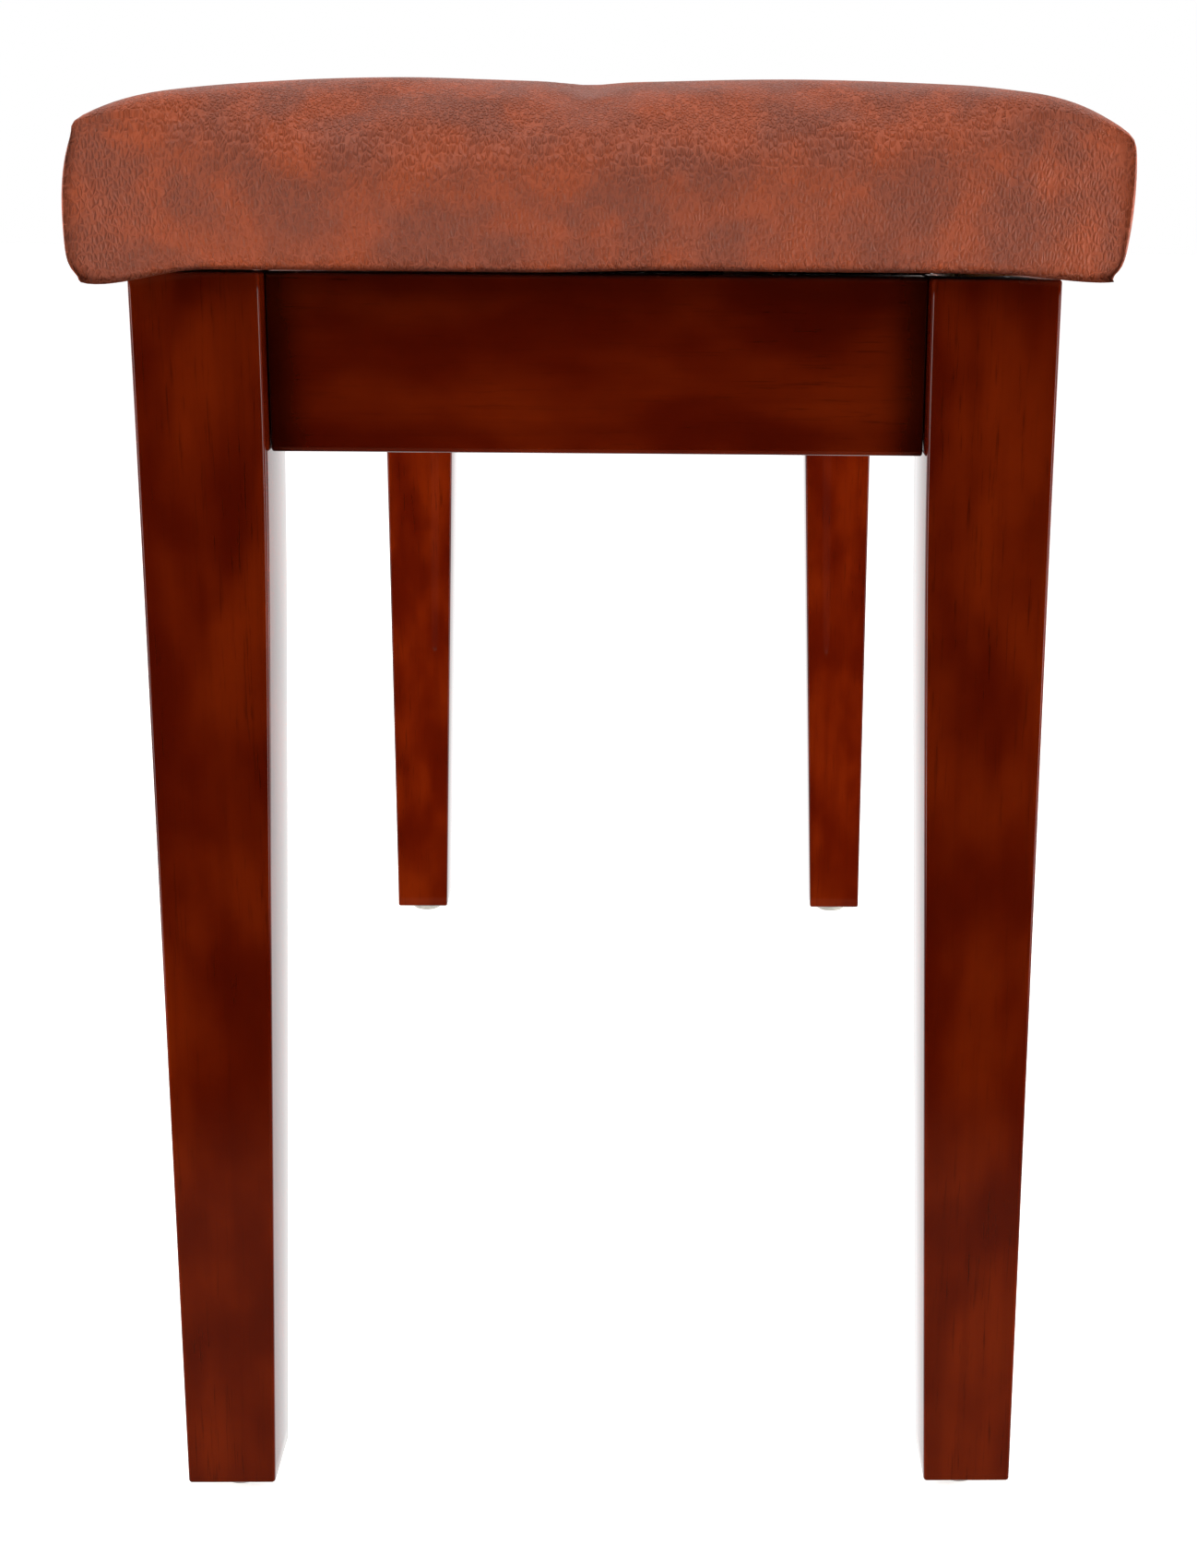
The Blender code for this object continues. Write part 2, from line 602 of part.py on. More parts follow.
def add_stud(body, side, pivot, outer, inner):
    """Rivet that grows out of body at outer, runs inward, and ends in a head past inner."""
    head_start = inner - GAP
    bm = bmesh.new()
    profile = [
        (STUD_RADIUS, 0.0), (STUD_RADIUS, outer - head_start), (STUD_HEAD, outer - head_start),
        (STUD_HEAD * 0.7, outer - head_start + HEAD_THICK),
    ]
    turned(bm, profile, 16, along_axis((side * outer, pivot.x, pivot.y), (-side, 0, 0)))
    stud = add_object("stud", bm, "zinc_steel")
    apply_boolean(body, stud, "UNION")


def make_stay(side, name):
    lid, box, elbow = stay_points()
    plate_face = BOX_X - GAP
    lower = plate_face - max(PLATE_THICK, BRACKET_THICK) - GAP
    upper = lower - ARM_THICK - GAP
    upper_inner = upper - ARM_THICK

    outline = [
        (box.x - PLATE_LENGTH / 2, box.y - PLATE_HEIGHT / 2), (box.x + PLATE_LENGTH / 2, box.y - PLATE_HEIGHT / 2),
        (box.x + PLATE_LENGTH / 2, box.y + PLATE_HEIGHT / 2), (box.x - PLATE_LENGTH / 2, box.y + PLATE_HEIGHT / 2),
    ]
    bm = bmesh.new()
    low, high = sorted((side * plate_face, side * (plate_face - PLATE_THICK)))
    prism(bm, outline, "x", low, high)
    plate = add_object("stay_box_plate_" + name, bm, "zinc_steel")
    add_stud(plate, side, box, plate_face - PLATE_THICK / 2, lower - ARM_THICK)

    arm = make_bar("stay_lower_arm_" + name, side, box, elbow, lower, [box])
    add_stud(arm, side, elbow, lower - ARM_THICK / 2, upper_inner)

    make_bar("stay_upper_arm_" + name, side, elbow, lid, upper, [elbow, lid])

    tab_outer = upper + GAP + PLATE_THICK
    top = LID_FOOT - GAP
    outline = [
        (lid.x - ARM_HALF * 1.6, top), (lid.x - ARM_HALF * 1.2, lid.y - ARM_HALF),
        (lid.x + ARM_HALF * 1.2, lid.y - ARM_HALF), (lid.x + ARM_HALF * 1.6, top),
    ]
    bm = bmesh.new()
    low, high = sorted((side * tab_outer, side * (tab_outer - PLATE_THICK)))
    prism(bm, outline, "x", low, high)
    tab = add_object("stay_lid_plate_" + name, bm, "zinc_steel")
    flange = bevelled_slab("flange", LID_FLANGE / 2, PLATE_LENGTH / 2, top - PLATE_THICK, top, 0.0, "zinc_steel")
    middle = side * (tab_outer - LID_FLANGE / 2)
    flange.data.transform(Matrix.Translation((middle, lid.x, 0.0)))
    apply_boolean(tab, flange, "UNION")
    add_stud(tab, side, lid, tab_outer - PLATE_THICK / 2, upper_inner)


def make_bumper(sx, name):
    """Rubber button under the lid, above the front leg."""
    profile = [
        (BUMPER_RADIUS * 0.8, LEG_TOP + GAP), (BUMPER_RADIUS, LEG_TOP + 3 * GAP), (BUMPER_RADIUS, LID_FOOT - GAP),
    ]
    bm = bmesh.new()
    place = (sx * (HALF_X - BUMPER_INSET), -(HALF_Y - BUMPER_INSET), 0.0)
    turned(bm, profile, 16, Matrix.Translation(place))
    add_object("lid_bumper_" + name, bm, "rubber")


def main():
    clear_scene()
    for sx in (1, -1):
        for sy in (1, -1):
            make_leg(sx, sy)
            make_glide(sx, sy)
            make_bracket(sx, sy)
            make_leg_bolt(sx, sy)
    make_aprons()
    make_floor()
    make_board_and_lining()
    make_foam()
    make_cover()
    make_buttons()
    for side, name in ((1, "right"), (-1, "left")):
        make_hinge(side, name)
        make_stay(side, name)
        make_bumper(side, name)


main()
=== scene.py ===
import json
import math

import bmesh
import bpy
from mathutils import Matrix, Vector, noise

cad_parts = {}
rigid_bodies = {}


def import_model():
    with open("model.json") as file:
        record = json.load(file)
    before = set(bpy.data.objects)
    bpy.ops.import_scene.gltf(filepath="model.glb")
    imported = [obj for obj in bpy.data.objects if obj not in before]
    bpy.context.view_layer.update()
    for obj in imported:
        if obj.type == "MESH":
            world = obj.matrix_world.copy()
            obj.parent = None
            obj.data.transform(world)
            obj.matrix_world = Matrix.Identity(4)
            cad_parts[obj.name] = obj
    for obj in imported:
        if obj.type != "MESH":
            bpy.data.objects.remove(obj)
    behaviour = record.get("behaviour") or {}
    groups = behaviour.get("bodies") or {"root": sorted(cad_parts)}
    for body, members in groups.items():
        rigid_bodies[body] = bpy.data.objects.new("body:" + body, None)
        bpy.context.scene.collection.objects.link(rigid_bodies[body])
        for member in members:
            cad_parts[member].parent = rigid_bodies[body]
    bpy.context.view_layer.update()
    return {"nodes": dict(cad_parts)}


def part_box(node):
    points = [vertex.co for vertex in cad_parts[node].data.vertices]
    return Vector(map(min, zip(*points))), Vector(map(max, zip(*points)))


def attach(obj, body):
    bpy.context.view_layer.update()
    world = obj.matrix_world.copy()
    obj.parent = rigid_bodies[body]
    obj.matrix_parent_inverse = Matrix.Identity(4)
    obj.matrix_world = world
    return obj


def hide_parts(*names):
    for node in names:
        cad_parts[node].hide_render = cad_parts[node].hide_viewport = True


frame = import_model()
nodes = frame["nodes"]
corners = [(sx, sy) for sx in (1, -1) for sy in (-1, 1)]
print("frame loaded:", len(nodes), "parts")


def cornerName(sx, sy):
    return ("right" if sx > 0 else "left") + "_" + ("back" if sy > 0 else "front")


def titled(name):
    return name.title().replace("_", "")


def footOf(nodeName):
    # the middle of a node's underside
    low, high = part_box(nodeName)
    return ((low.x + high.x) / 2, (low.y + high.y) / 2, low.z)


def pick(sockets, key):
    # a socket by number, by identifier, or by name among the ones in use
    if isinstance(key, int):
        return sockets[key]
    exact = [s for s in sockets if s.identifier == key]
    return (exact or [s for s in sockets if s.name == key and s.enabled])[0]


def step(operation, swapped=False):
    # an operator of Value: it adds one Math node
    def applied(value, other):
        return value.graph.math(operation, *((other, value) if swapped else (value, other)))
    return applied


class Value:
    # a socket that can stand in an expression
    def __init__(self, graph, socket):
        self.graph = graph
        self.socket = socket

    def math(self, operation, *others):
        return self.graph.math(operation, self, *others)

    __add__, __radd__ = step("ADD"), step("ADD", True)
    __sub__, __rsub__ = step("SUBTRACT"), step("SUBTRACT", True)
    __mul__, __rmul__ = step("MULTIPLY"), step("MULTIPLY", True)
    __truediv__, __rtruediv__ = step("DIVIDE"), step("DIVIDE", True)
    __pow__ = step("POWER")


class Graph:
    # a node tree that is filled by calls to add
    def __init__(self, tree):
        self.tree = tree

    def add(self, kind, settings=None, inputs=None, out=0):
        node = self.tree.nodes.new(kind)
        for name, value in (settings or {}).items():
            if name == "stops":
                self.setStops(node.color_ramp, value)
            else:
                setattr(node, name, value)
        for key, value in (inputs or {}).items():
            for one in value if isinstance(value, list) else [value]:
                self.feed(pick(node.inputs, key), one)
        return node if out is None else Value(self, pick(node.outputs, out))

    def feed(self, socket, value):
        if isinstance(value, Value):
            self.tree.links.new(value.socket, socket)
        else:
            socket.default_value = value

    def setStops(self, ramp, stops):
        while len(ramp.elements) < len(stops):
            ramp.elements.new(0.5)
        for element, (position, colour) in zip(ramp.elements, stops):
            element.position = position
            element.color = colour

    def math(self, operation, *values):
        return self.add("ShaderNodeMath", {"operation": operation}, dict(enumerate(values)))

    def fade(self, value, low, high, fromValue=0.0, toValue=1.0):
        # soft step between two values
        return self.add("ShaderNodeMapRange", {"interpolation_type": "SMOOTHSTEP"},
                        {"Value": value, "From Min": low, "From Max": high, "To Min": fromValue,
                         "To Max": toValue},
                        "Result")

    def mix(self, factor, first, second, blend="MIX"):
        return self.add("ShaderNodeMix", {"data_type": "RGBA", "blend_type": blend},
                        {"Factor_Float": factor, "A_Color": first, "B_Color": second}, "Result_Color")

    def noise(self, place, scale, detail=3.0, roughness=0.5, distortion=0.0):
        return self.add("ShaderNodeTexNoise", None,
                        {"Vector": place, "Scale": scale, "Detail": detail, "Roughness": roughness,
                         "Distortion": distortion}, "Fac")

    def mapped(self, place, scale=(1, 1, 1), offset=(0, 0, 0), turn=(0, 0, 0)):
        return self.add("ShaderNodeMapping", None,
                        {"Vector": place, "Location": offset, "Rotation": turn, "Scale": scale}, "Vector")

    def split(self, vector):
        node = self.add("ShaderNodeSeparateXYZ", None, {"Vector": vector}, None)
        return [Value(self, socket) for socket in node.outputs]

    def join(self, x=0.0, y=0.0, z=0.0):
        return self.add("ShaderNodeCombineXYZ", None, {"X": x, "Y": y, "Z": z}, "Vector")

    def bump(self, height, strength, distance, under=None):
        inputs = {"Height": height, "Strength": strength, "Distance": distance}
        if under:
            inputs["Normal"] = under
        return self.add("ShaderNodeBump", None, inputs, "Normal")


def grey(level):
    return (level, level, level, 1.0)


def newMaterial(name):
    made = bpy.data.materials.new(name)
    made.use_nodes = True
    made.node_tree.nodes.clear()
    graph = Graph(made.node_tree)
    return made, graph, graph.add("ShaderNodeTexCoord", None, None, "Object")


def finishMaterial(made, graph, inputs):
    shader = graph.add("ShaderNodeBsdfPrincipled", None, inputs, "BSDF")
    graph.add("ShaderNodeOutputMaterial", None, {"Surface": shader}, None)
    return made


# camera, light and floor

cameraValues = {
    "place": (1.1161, 0.0219, 0.4753),
    "turn": -1.36,         # degrees away from looking straight along the bench
    "tilt": 14.93,         # degrees down
    "roll": 0.60,
    "lens": 52.48,
    "sensor": 36.0,
    "shift": -0.0742,      # sideways, as the bench stands off the view's middle
}


def makeCamera(values):
    data = bpy.data.cameras.new("camera")
    data.sensor_fit = "VERTICAL"
    data.sensor_height = values["sensor"]
    data.lens = values["lens"]
    data.shift_x = values["shift"]
    data.clip_end = 50.0
    camera = bpy.data.objects.new("camera", data)
    bpy.context.scene.collection.objects.link(camera)
    turn = Matrix.Rotation(math.radians(90 + values["turn"]), 4, "Z")
    tilt = Matrix.Rotation(math.radians(90 - values["tilt"]), 4, "X")
    roll = Matrix.Rotation(math.radians(values["roll"]), 4, "Z")
    camera.matrix_world = Matrix.Translation(values["place"]) @ turn @ tilt @ roll
    bpy.context.scene.camera = camera


studioValues = {
    "backdrop": (1.0, 1.0, 1.0, 1.0),        # what the camera sees behind the bench
    "fill": (0.38, 0.38, 0.38, 1.0),         # soft light from all round
    "overhead": (0.85, 0.85, 0.85, 1.0),     # softbox above, as polished faces see it
    "farWall": (1.25, 1.25, 1.25, 1.0),      # lit wall behind the bench
    "nearRoom": (0.004, 0.003, 0.003, 1.0),  # unlit room in front of it
    "nearFloor": (0.42, 0.13, 0.08, 1.0),    # and its warm floor
    "strip": (4.5, 4.5, 4.5, 1.0),           # narrow upright lights to both sides
    "stripTurn": (0.36, 0.933),              # which way they lie, along and across the bench
    "floor": (0.9, 0.9, 0.9, 1.0),
    "floorGlow": 0.63,
    "floorLight": 0.24,                      # share of that glow that lights the bench
    # place, target, size, power, colour
    "lights": [
        ((1.15, -1.35, 1.35), (0.2, 0.0, 0.40), 1.1, 20.0, (1.0, 0.98, 0.95)),
        ((1.15, 1.45, 1.30), (0.2, 0.0, 0.40), 1.1, 18.0, (0.98, 0.99, 1.0)),
        ((0.33, -1.3, 0.16), (-0.36, -0.1, 0.20), 0.7, 30.0, (1.0, 0.93, 0.82)),
        ((0.33, 1.3, 0.16), (-0.36, 0.1, 0.20), 0.7, 36.0, (1.0, 0.93, 0.82)),
        ((-1.5, -0.6, 1.5), (-0.1, 0.0, 0.40), 1.3, 14.0, (1.0, 0.99, 0.97)),
        ((0.3, 0.1, 2.0), (0.25, 0.0, 0.45), 1.4, 24.0, (1.0, 1.0, 1.0)),
    ],
}


def makeStudio(values):
    world = bpy.data.worlds.new("studio")
    bpy.context.scene.world = world
    world.use_nodes = True
    world.node_tree.nodes.clear()
    graph = Graph(world.node_tree)
    direction = graph.add("ShaderNodeTexCoord", None, None, "Generated")
    dx, dy, dz = graph.split(direction)
    above = graph.fade(dz, 0.25, 0.70)
    away = graph.fade(dx * -1.0, 0.0, 0.5)
    low = graph.fade(dz * -1.0, 0.37, 0.43)
    shade = graph.mix(low, values["nearRoom"], values["nearFloor"])
    shade = graph.mix(away, shade, values["farWall"])
    # two upright strip lights draw a thin line down every eased vertical edge
    level = (1 - dz * dz) ** 0.5
    facing = (dx * values["stripTurn"][0] + dy.math("ABSOLUTE") * values["stripTurn"][1]) / level
    strip = graph.fade(facing, 0.9925, 0.9965) * graph.fade((dz + 0.15).math("ABSOLUTE"), 0.22, 0.14)
    shade = graph.mix(strip, shade, values["strip"])
    polished = graph.mix(above, shade, values["overhead"])
    path = graph.add("ShaderNodeLightPath", None, None, None)
    seen, shiny = Value(graph, path.outputs["Is Camera Ray"]), Value(graph, path.outputs["Is Glossy Ray"])
    colour = graph.mix(seen, graph.mix(shiny, values["fill"], polished), values["backdrop"])
    glow = graph.add("ShaderNodeBackground", None, {"Color": colour}, "Background")
    graph.add("ShaderNodeOutputWorld", None, {"Surface": glow}, None)

    for number, (place, target, size, power, colour) in enumerate(values["lights"], start=1):
        data = bpy.data.lights.new("softLight%d" % number, "AREA")
        data.shape, data.size, data.energy, data.color = "DISK", size, power, colour
        lamp = bpy.data.objects.new(data.name, data)
        lamp.location = place
        lamp.visible_glossy = False     # the world holds the softboxes that polished faces show
        lamp.rotation_euler = (Vector(target) - Vector(place)).to_track_quat("-Z", "Y").to_euler()
        bpy.context.scene.collection.objects.link(lamp)

    bm = bmesh.new()
    bmesh.ops.create_grid(bm, x_segments=2, y_segments=2, size=14.0)
    floor = addPiece("studioFloor", bm)
    made, graph, place = newMaterial("paleFloor")
    cloud = graph.noise(place, 3.0, 2.0)
    shade = graph.mix(graph.fade(cloud, 0.3, 0.7, 0.0, 0.4), values["floor"], grey(0.87))
    seen = graph.add("ShaderNodeLightPath", None, None, "Is Camera Ray")
    finishMaterial(made, graph, {
        "Base Color": shade, "Roughness": 0.6, "Specular IOR Level": 0.2,
        "Emission Color": graph.mix(seen, grey(values["floorLight"]), grey(1.0)),
        "Emission Strength": values["floorGlow"]})
    floor.data.materials.append(made)
    floor.visible_glossy = False        # polished faces see the studio itself instead
    scene = bpy.context.scene
    scene.view_settings.view_transform = "Standard"
    scene.view_settings.look = "None"


# mesh helpers

def addPiece(name, bm, finish=None, smooth=None):
    mesh = bpy.data.meshes.new(name)
    bm.to_mesh(mesh)
    bm.free()
    piece = bpy.data.objects.new(name, mesh)
    bpy.context.scene.collection.objects.link(piece)
    if finish:
        mesh.materials.append(finish)
    if smooth is not None:
        smoothByAngle(mesh, smooth)
    return piece


def smoothByAngle(mesh, degrees):
    mesh.polygons.foreach_set("use_smooth", [True] * len(mesh.polygons))
    mesh.set_sharp_from_angle(angle=math.radians(degrees))


def settle(piece):
    # apply the modifiers and keep the result as a plain mesh
    done = bpy.data.meshes.new_from_object(piece.evaluated_get(bpy.context.evaluated_depsgraph_get()))
    piece.modifiers.clear()
    old = piece.data
    piece.data = done
    done.name = piece.name
    bpy.data.meshes.remove(old)
    return piece


def addBevel(piece, width, segments=3, angle=35.0):
    bevel = piece.modifiers.new("softEdges", "BEVEL")
    bevel.width = width
    bevel.segments = segments
    bevel.limit_method = "ANGLE"
    bevel.angle_limit = math.radians(angle)
    bevel.use_clamp_overlap = True
    bevel.miter_outer = "MITER_ARC"


def refine(nodeName, newName, finish, edge, segments=2, angle=35.0, smooth=40.0):
    # a merged copy of a plain part with eased edges takes its place
    bm = bmesh.new()
    bm.from_mesh(nodes[nodeName].data)
    bmesh.ops.remove_doubles(bm, verts=bm.verts, dist=1e-6)
    bmesh.ops.dissolve_limit(bm, angle_limit=math.radians(1.0), verts=bm.verts, edges=bm.edges)
    piece = addPiece(newName, bm, finish)
    for polygon in piece.data.polygons:
        polygon.material_index = 0
    addBevel(piece, edge, segments, angle)
    settle(piece)
    smoothByAngle(piece.data, smooth)
    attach(piece, bodyOf(nodeName))
    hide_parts(nodeName)
    return piece


def bodyOf(nodeName):
    return nodes[nodeName].parent.name.split("body:")[-1]


def lathe(bm, profile, segments, matrix=Matrix()):
    # turn a profile of (radius, height) round Z; a radius of zero closes the pole
    rings = []
    for radius, height in profile:
        if radius < 1e-7:
            rings.append([bm.verts.new(matrix @ Vector((0, 0, height)))])
        else:
            rings.append([bm.verts.new(matrix @ Vector((radius * math.cos(a), radius * math.sin(a), height)))
                          for a in [2 * math.pi * k / segments for k in range(segments)]])
    for low, high in zip(rings, rings[1:]):
        for k in range(segments):
            n = (k + 1) % segments
            if len(low) == 1 and len(high) == 1:
                continue
            if len(low) == 1:
                bm.faces.new((low[0], high[n], high[k]))
            elif len(high) == 1:
                bm.faces.new((low[k], low[n], high[0]))
            else:
                bm.faces.new((low[k], low[n], high[n], high[k]))
    if len(rings[0]) > 1:
        bm.faces.new(list(reversed(rings[0])))
    if len(rings[-1]) > 1:
        bm.faces.new(rings[-1])
    bmesh.ops.recalc_face_normals(bm, faces=bm.faces)


def arc(centreR, centreZ, radius, start, end, steps):
    return [(centreR + radius * math.cos(math.radians(a)), centreZ + radius * math.sin(math.radians(a)))
            for a in [start + (end - start) * k / steps for k in range(steps + 1)]]


# geometry trees

def newTree(name, inputs):
    tree = bpy.data.node_groups.new(name, "GeometryNodeTree")
    for label, kind in inputs:
        tree.interface.new_socket(label, in_out="INPUT", socket_type="NodeSocket" + kind)
    tree.interface.new_socket("Geometry", in_out="OUTPUT", socket_type="NodeSocketGeometry")
    graph = Graph(tree)
    group = tree.nodes.new("NodeGroupInput")
    return graph, {label: Value(graph, group.outputs[label]) for label, kind in inputs}


def endTree(graph, geometry, finish):
    plain = graph.add("GeometryNodeRealizeInstances", None, {"Geometry": geometry}, "Geometry")
    dressed = graph.add("GeometryNodeSetMaterial", None, {"Geometry": plain, "Material": finish}, "Geometry")
    graph.add("NodeGroupOutput", None, {"Geometry": dressed}, None)
    return graph.tree


def grow(name, tree, values, base=None, bevel=None, smooth=40.0):
    # run a tree on a base mesh and keep the plain result
    piece = bpy.data.objects.new(name, base or bpy.data.meshes.new(name + "Base"))
    bpy.context.scene.collection.objects.link(piece)
    modifier = piece.modifiers.new("shape", "NODES")
    modifier.node_group = tree
    sockets = {item.name: item.identifier for item in tree.interface.items_tree if item.in_out == "INPUT"}
    for label, value in values.items():
        modifier[sockets[label]] = value
    if bevel:
        addBevel(piece, *bevel)
    settle(piece)
    smoothByAngle(piece.data, smooth)
    return piece


def pointBase(name, places, aims):
    # loose points that carry the direction each copy faces
    mesh = bpy.data.meshes.new(name + "Points")
    mesh.from_pydata([tuple(p) for p in places], [], [])
    aim = mesh.attributes.new("aim", "FLOAT_VECTOR", "POINT")
    for item, direction in zip(aim.data, aims):
        item.vector = direction
    return mesh


def copyTree():
    # one copy of a part on every point, its Z axis along the point's aim, turned by chance
    graph, given = newTree("copiesOnPoints", [
        ("Geometry", "Geometry"), ("Part", "Object"), ("Finish", "Material"), ("Turn Spread", "Float"),
        ("Seed", "Int")])
    part = graph.add("GeometryNodeObjectInfo", None, {"Object": given["Part"]}, "Geometry")
    aim = graph.add("GeometryNodeInputNamedAttribute", {"data_type": "FLOAT_VECTOR"}, {"Name": "aim"},
                    "Attribute")
    facing = graph.add("FunctionNodeAlignRotationToVector", {"axis": "Z"}, {"Vector": aim}, "Rotation")
    chance = graph.add("FunctionNodeRandomValue", {"data_type": "FLOAT"},
                       {"Min_001": 0.0, "Max_001": given["Turn Spread"], "Seed": given["Seed"]}, "Value_001")
    spin = graph.join(z=chance)
    turned = graph.add("FunctionNodeRotateRotation", {"rotation_space": "LOCAL"},
                       {"Rotation": facing, "Rotate By": spin}, "Rotation")
    copies = graph.add("GeometryNodeInstanceOnPoints", None,
                       {"Points": given["Geometry"], "Instance": part, "Rotation": turned}, "Instances")
    return endTree(graph, copies, given["Finish"])


def growCopies(name, part, places, aims, finish, body, spread=0.0, seed=1, smooth=40.0):
    piece = grow(name, copiesOnPoints, {"Part": part, "Finish": finish, "Turn Spread": spread, "Seed": seed},
                 pointBase(name, places, aims), None, smooth)
    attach(piece, body)
    return piece


# finishes

lacquerValues = {
    "deep": (0.040, 0.0021, 0.0002, 1.0),
    "middle": (0.056, 0.0033, 0.0002, 1.0),
    "flame": (0.094, 0.0082, 0.0006, 1.0),
    # near black: the colour of dark grain streaks, and also the painted shade near the aprons' ends
    "darkStreakAndShade": (0.008, 0.0006, 0.0001, 1.0),
    "streakWidth": 0.0010,
    "streakLength": 0.022,
    "cloudSize": 0.026,
}


def lacquer(name, along, values, ends=None):
    # red mahogany stain under clear gloss, its grain along one axis; painted shade darkens it near the ends,
    # where the legs shade the aprons
    made, graph, place = newMaterial(name)

    def stretched(across, length, offset=0.0):
        sizes = [1 / across] * 3
        sizes["xyz".index(along)] = 1 / length
        return graph.mapped(place, tuple(sizes), (offset, offset * 1.7, offset * 0.6))

    wander = graph.noise(stretched(0.05, 0.16, 4.0), 1.0, 2.0)
    streaks = graph.noise(stretched(values["streakWidth"], values["streakLength"]), 1.0, 4.0, 0.6, 0.3)
    bands = graph.noise(stretched(values["streakWidth"] * 6, values["streakLength"] * 9, 7.0), 1.0, 3.0,
                        0.5, 0.4)
    clouds = graph.noise(stretched(values["cloudSize"], values["cloudSize"] * 2.0, 2.0), 1.0, 2.5, 0.45, 0.15)
    figure = graph.fade(clouds + 0.5 * (wander - 0.5), 0.36, 0.74)
    shade = graph.mix(graph.fade(clouds, 0.20, 0.60), values["deep"], values["middle"])
    shade = graph.mix(figure, shade, values["flame"])
    shade = graph.mix(graph.fade(bands, 0.45, 0.75, 0.0, 0.30), shade, values["deep"])
    ticks = graph.fade(streaks, 0.54, 0.72) * graph.fade(wander + 0.4 * (clouds - 0.5), 0.38, 0.60, 0.25, 0.8)
    shade = graph.mix(ticks * 0.62, shade, values["darkStreakAndShade"])
    # painted shade: the wood turns near black over the last 16 mm before each end, in place of the legs'
    # shadow on the aprons
    if ends:
        spot = graph.split(place)["xyz".index(along)].math("ABSOLUTE")
        shade = graph.mix(graph.fade(spot, ends - 0.016, ends, 0.0, 0.75), shade, values["darkStreakAndShade"])
    pores = graph.noise(stretched(0.0005, 0.012, 3.0), 1.0, 2.0)
    rough = graph.fade(streaks, 0.3, 0.7, 0.30, 0.42)
    return finishMaterial(made, graph, {
        "Base Color": shade, "Roughness": rough, "Specular IOR Level": 0.0,
        "Coat Weight": 1.0, "Coat Roughness": 0.025, "Coat IOR": 1.5,
        "Normal": graph.bump(pores, 0.05, 0.0003)})


leatherValues = {
    "orange": (0.262, 0.047, 0.013, 1.0),
    "brown": (0.174, 0.040, 0.019, 1.0),
    "ridgeHighlight": (0.40, 0.105, 0.050, 1.0),  # painted highlight: a lighter colour on the rims of the grain, where light would catch them
    "patch": 0.021,        # metres across a patch of colour
    "grain": 0.0013,       # metres across a cell of the grain
    "relief": 0.00070,
    "valley": (0.12, 0.028, 0.014, 1.0),  # painted shade: a darker colour between the cells of the grain
    "valleyShadeShare": 0.20,
}


def leatherette(name, values, grainMap):
    made, graph, place = newMaterial(name)
    if grainMap:
        skin = graph.add("ShaderNodeUVMap", {"uv_map": grainMap}, None, "UV")
    else:
        skin = place
    wobble = graph.add("ShaderNodeTexNoise", None, {"Vector": skin, "Scale": 260.0, "Detail": 2.0}, "Color")
    bent = graph.add("ShaderNodeVectorMath", {"operation": "SCALE"}, {0: wobble, "Scale": 0.0006}, "Vector")
    skin = graph.add("ShaderNodeVectorMath", {"operation": "ADD"}, {0: skin, 1: bent}, "Vector")
    cells = graph.add("ShaderNodeTexVoronoi", {"feature": "DISTANCE_TO_EDGE"},
                      {"Vector": skin, "Scale": 1 / values["grain"], "Randomness": 0.95}, "Distance")
    pebble = graph.fade(cells, 0.0, 0.40)
    fine = graph.noise(skin, 3.2 / values["grain"], 3.0, 0.6)
    patches = graph.noise(place, 1 / values["patch"], 2.0, 0.45, 0.3)
    mottle = graph.fade(patches, 0.34, 0.64)
    small = graph.noise(place, 3.4 / values["patch"], 3.0, 0.6)
    shade = graph.mix(mottle, values["orange"], values["brown"])
    shade = graph.mix(graph.fade(small, 0.40, 0.80, 0.0, 0.12), shade, values["orange"])
    # painted shade: a darker colour in the valleys between the grain's cells
    shade = graph.mix((1 - pebble) * values["valleyShadeShare"], shade, values["valley"])
    # painted highlight: a lighter colour along the rims of the grain's cells
    shade = graph.mix(graph.fade(cells, 0.02, 0.13, 0.13, 0.0), shade, values["ridgeHighlight"])
    relief = graph.bump(pebble + 0.25 * fine, 1.0, values["relief"])
    soft = graph.noise(place, 90.0, 3.0, 0.5)
    return finishMaterial(made, graph, {
        "Base Color": shade, "Roughness": graph.fade(pebble + 0.2 * small, 0.0, 1.0, 0.56, 0.42),
        "Specular IOR Level": 0.32,
        "Normal": graph.bump(soft, 0.25, 0.0008, relief)})


def metal(name, colour, worn, rough):
    made, graph, place = newMaterial(name)
    clouds = graph.noise(place, 160.0, 4.0, 0.6)
    scratches = graph.noise(graph.mapped(place, (2600.0, 60.0, 900.0), turn=(0.3, 0.2, 0.4)), 1.0, 2.0)
    shade = graph.mix(graph.fade(clouds, 0.40, 0.72), colour, worn)
    return finishMaterial(made, graph, {
        "Base Color": shade, "Metallic": 1.0,
        "Roughness": graph.fade(clouds + 0.3 * scratches, 0.4, 0.9, rough, rough + 0.16),
        "Normal": graph.bump(scratches, 0.10, 0.0001)})


def plastic(name, colour, dark, rough, pebble):
    made, graph, place = newMaterial(name)
    clouds = graph.noise(place, 220.0, 3.0, 0.55)
    fine = graph.noise(place, 2600.0, 2.0, 0.6)
    return finishMaterial(made, graph, {
        "Base Color": graph.mix(graph.fade(clouds, 0.35, 0.7), colour, dark),
        "Roughness": graph.fade(clouds, 0.3, 0.7, rough, rough + 0.12),
        "Normal": graph.bump(fine, pebble, 0.0002)})


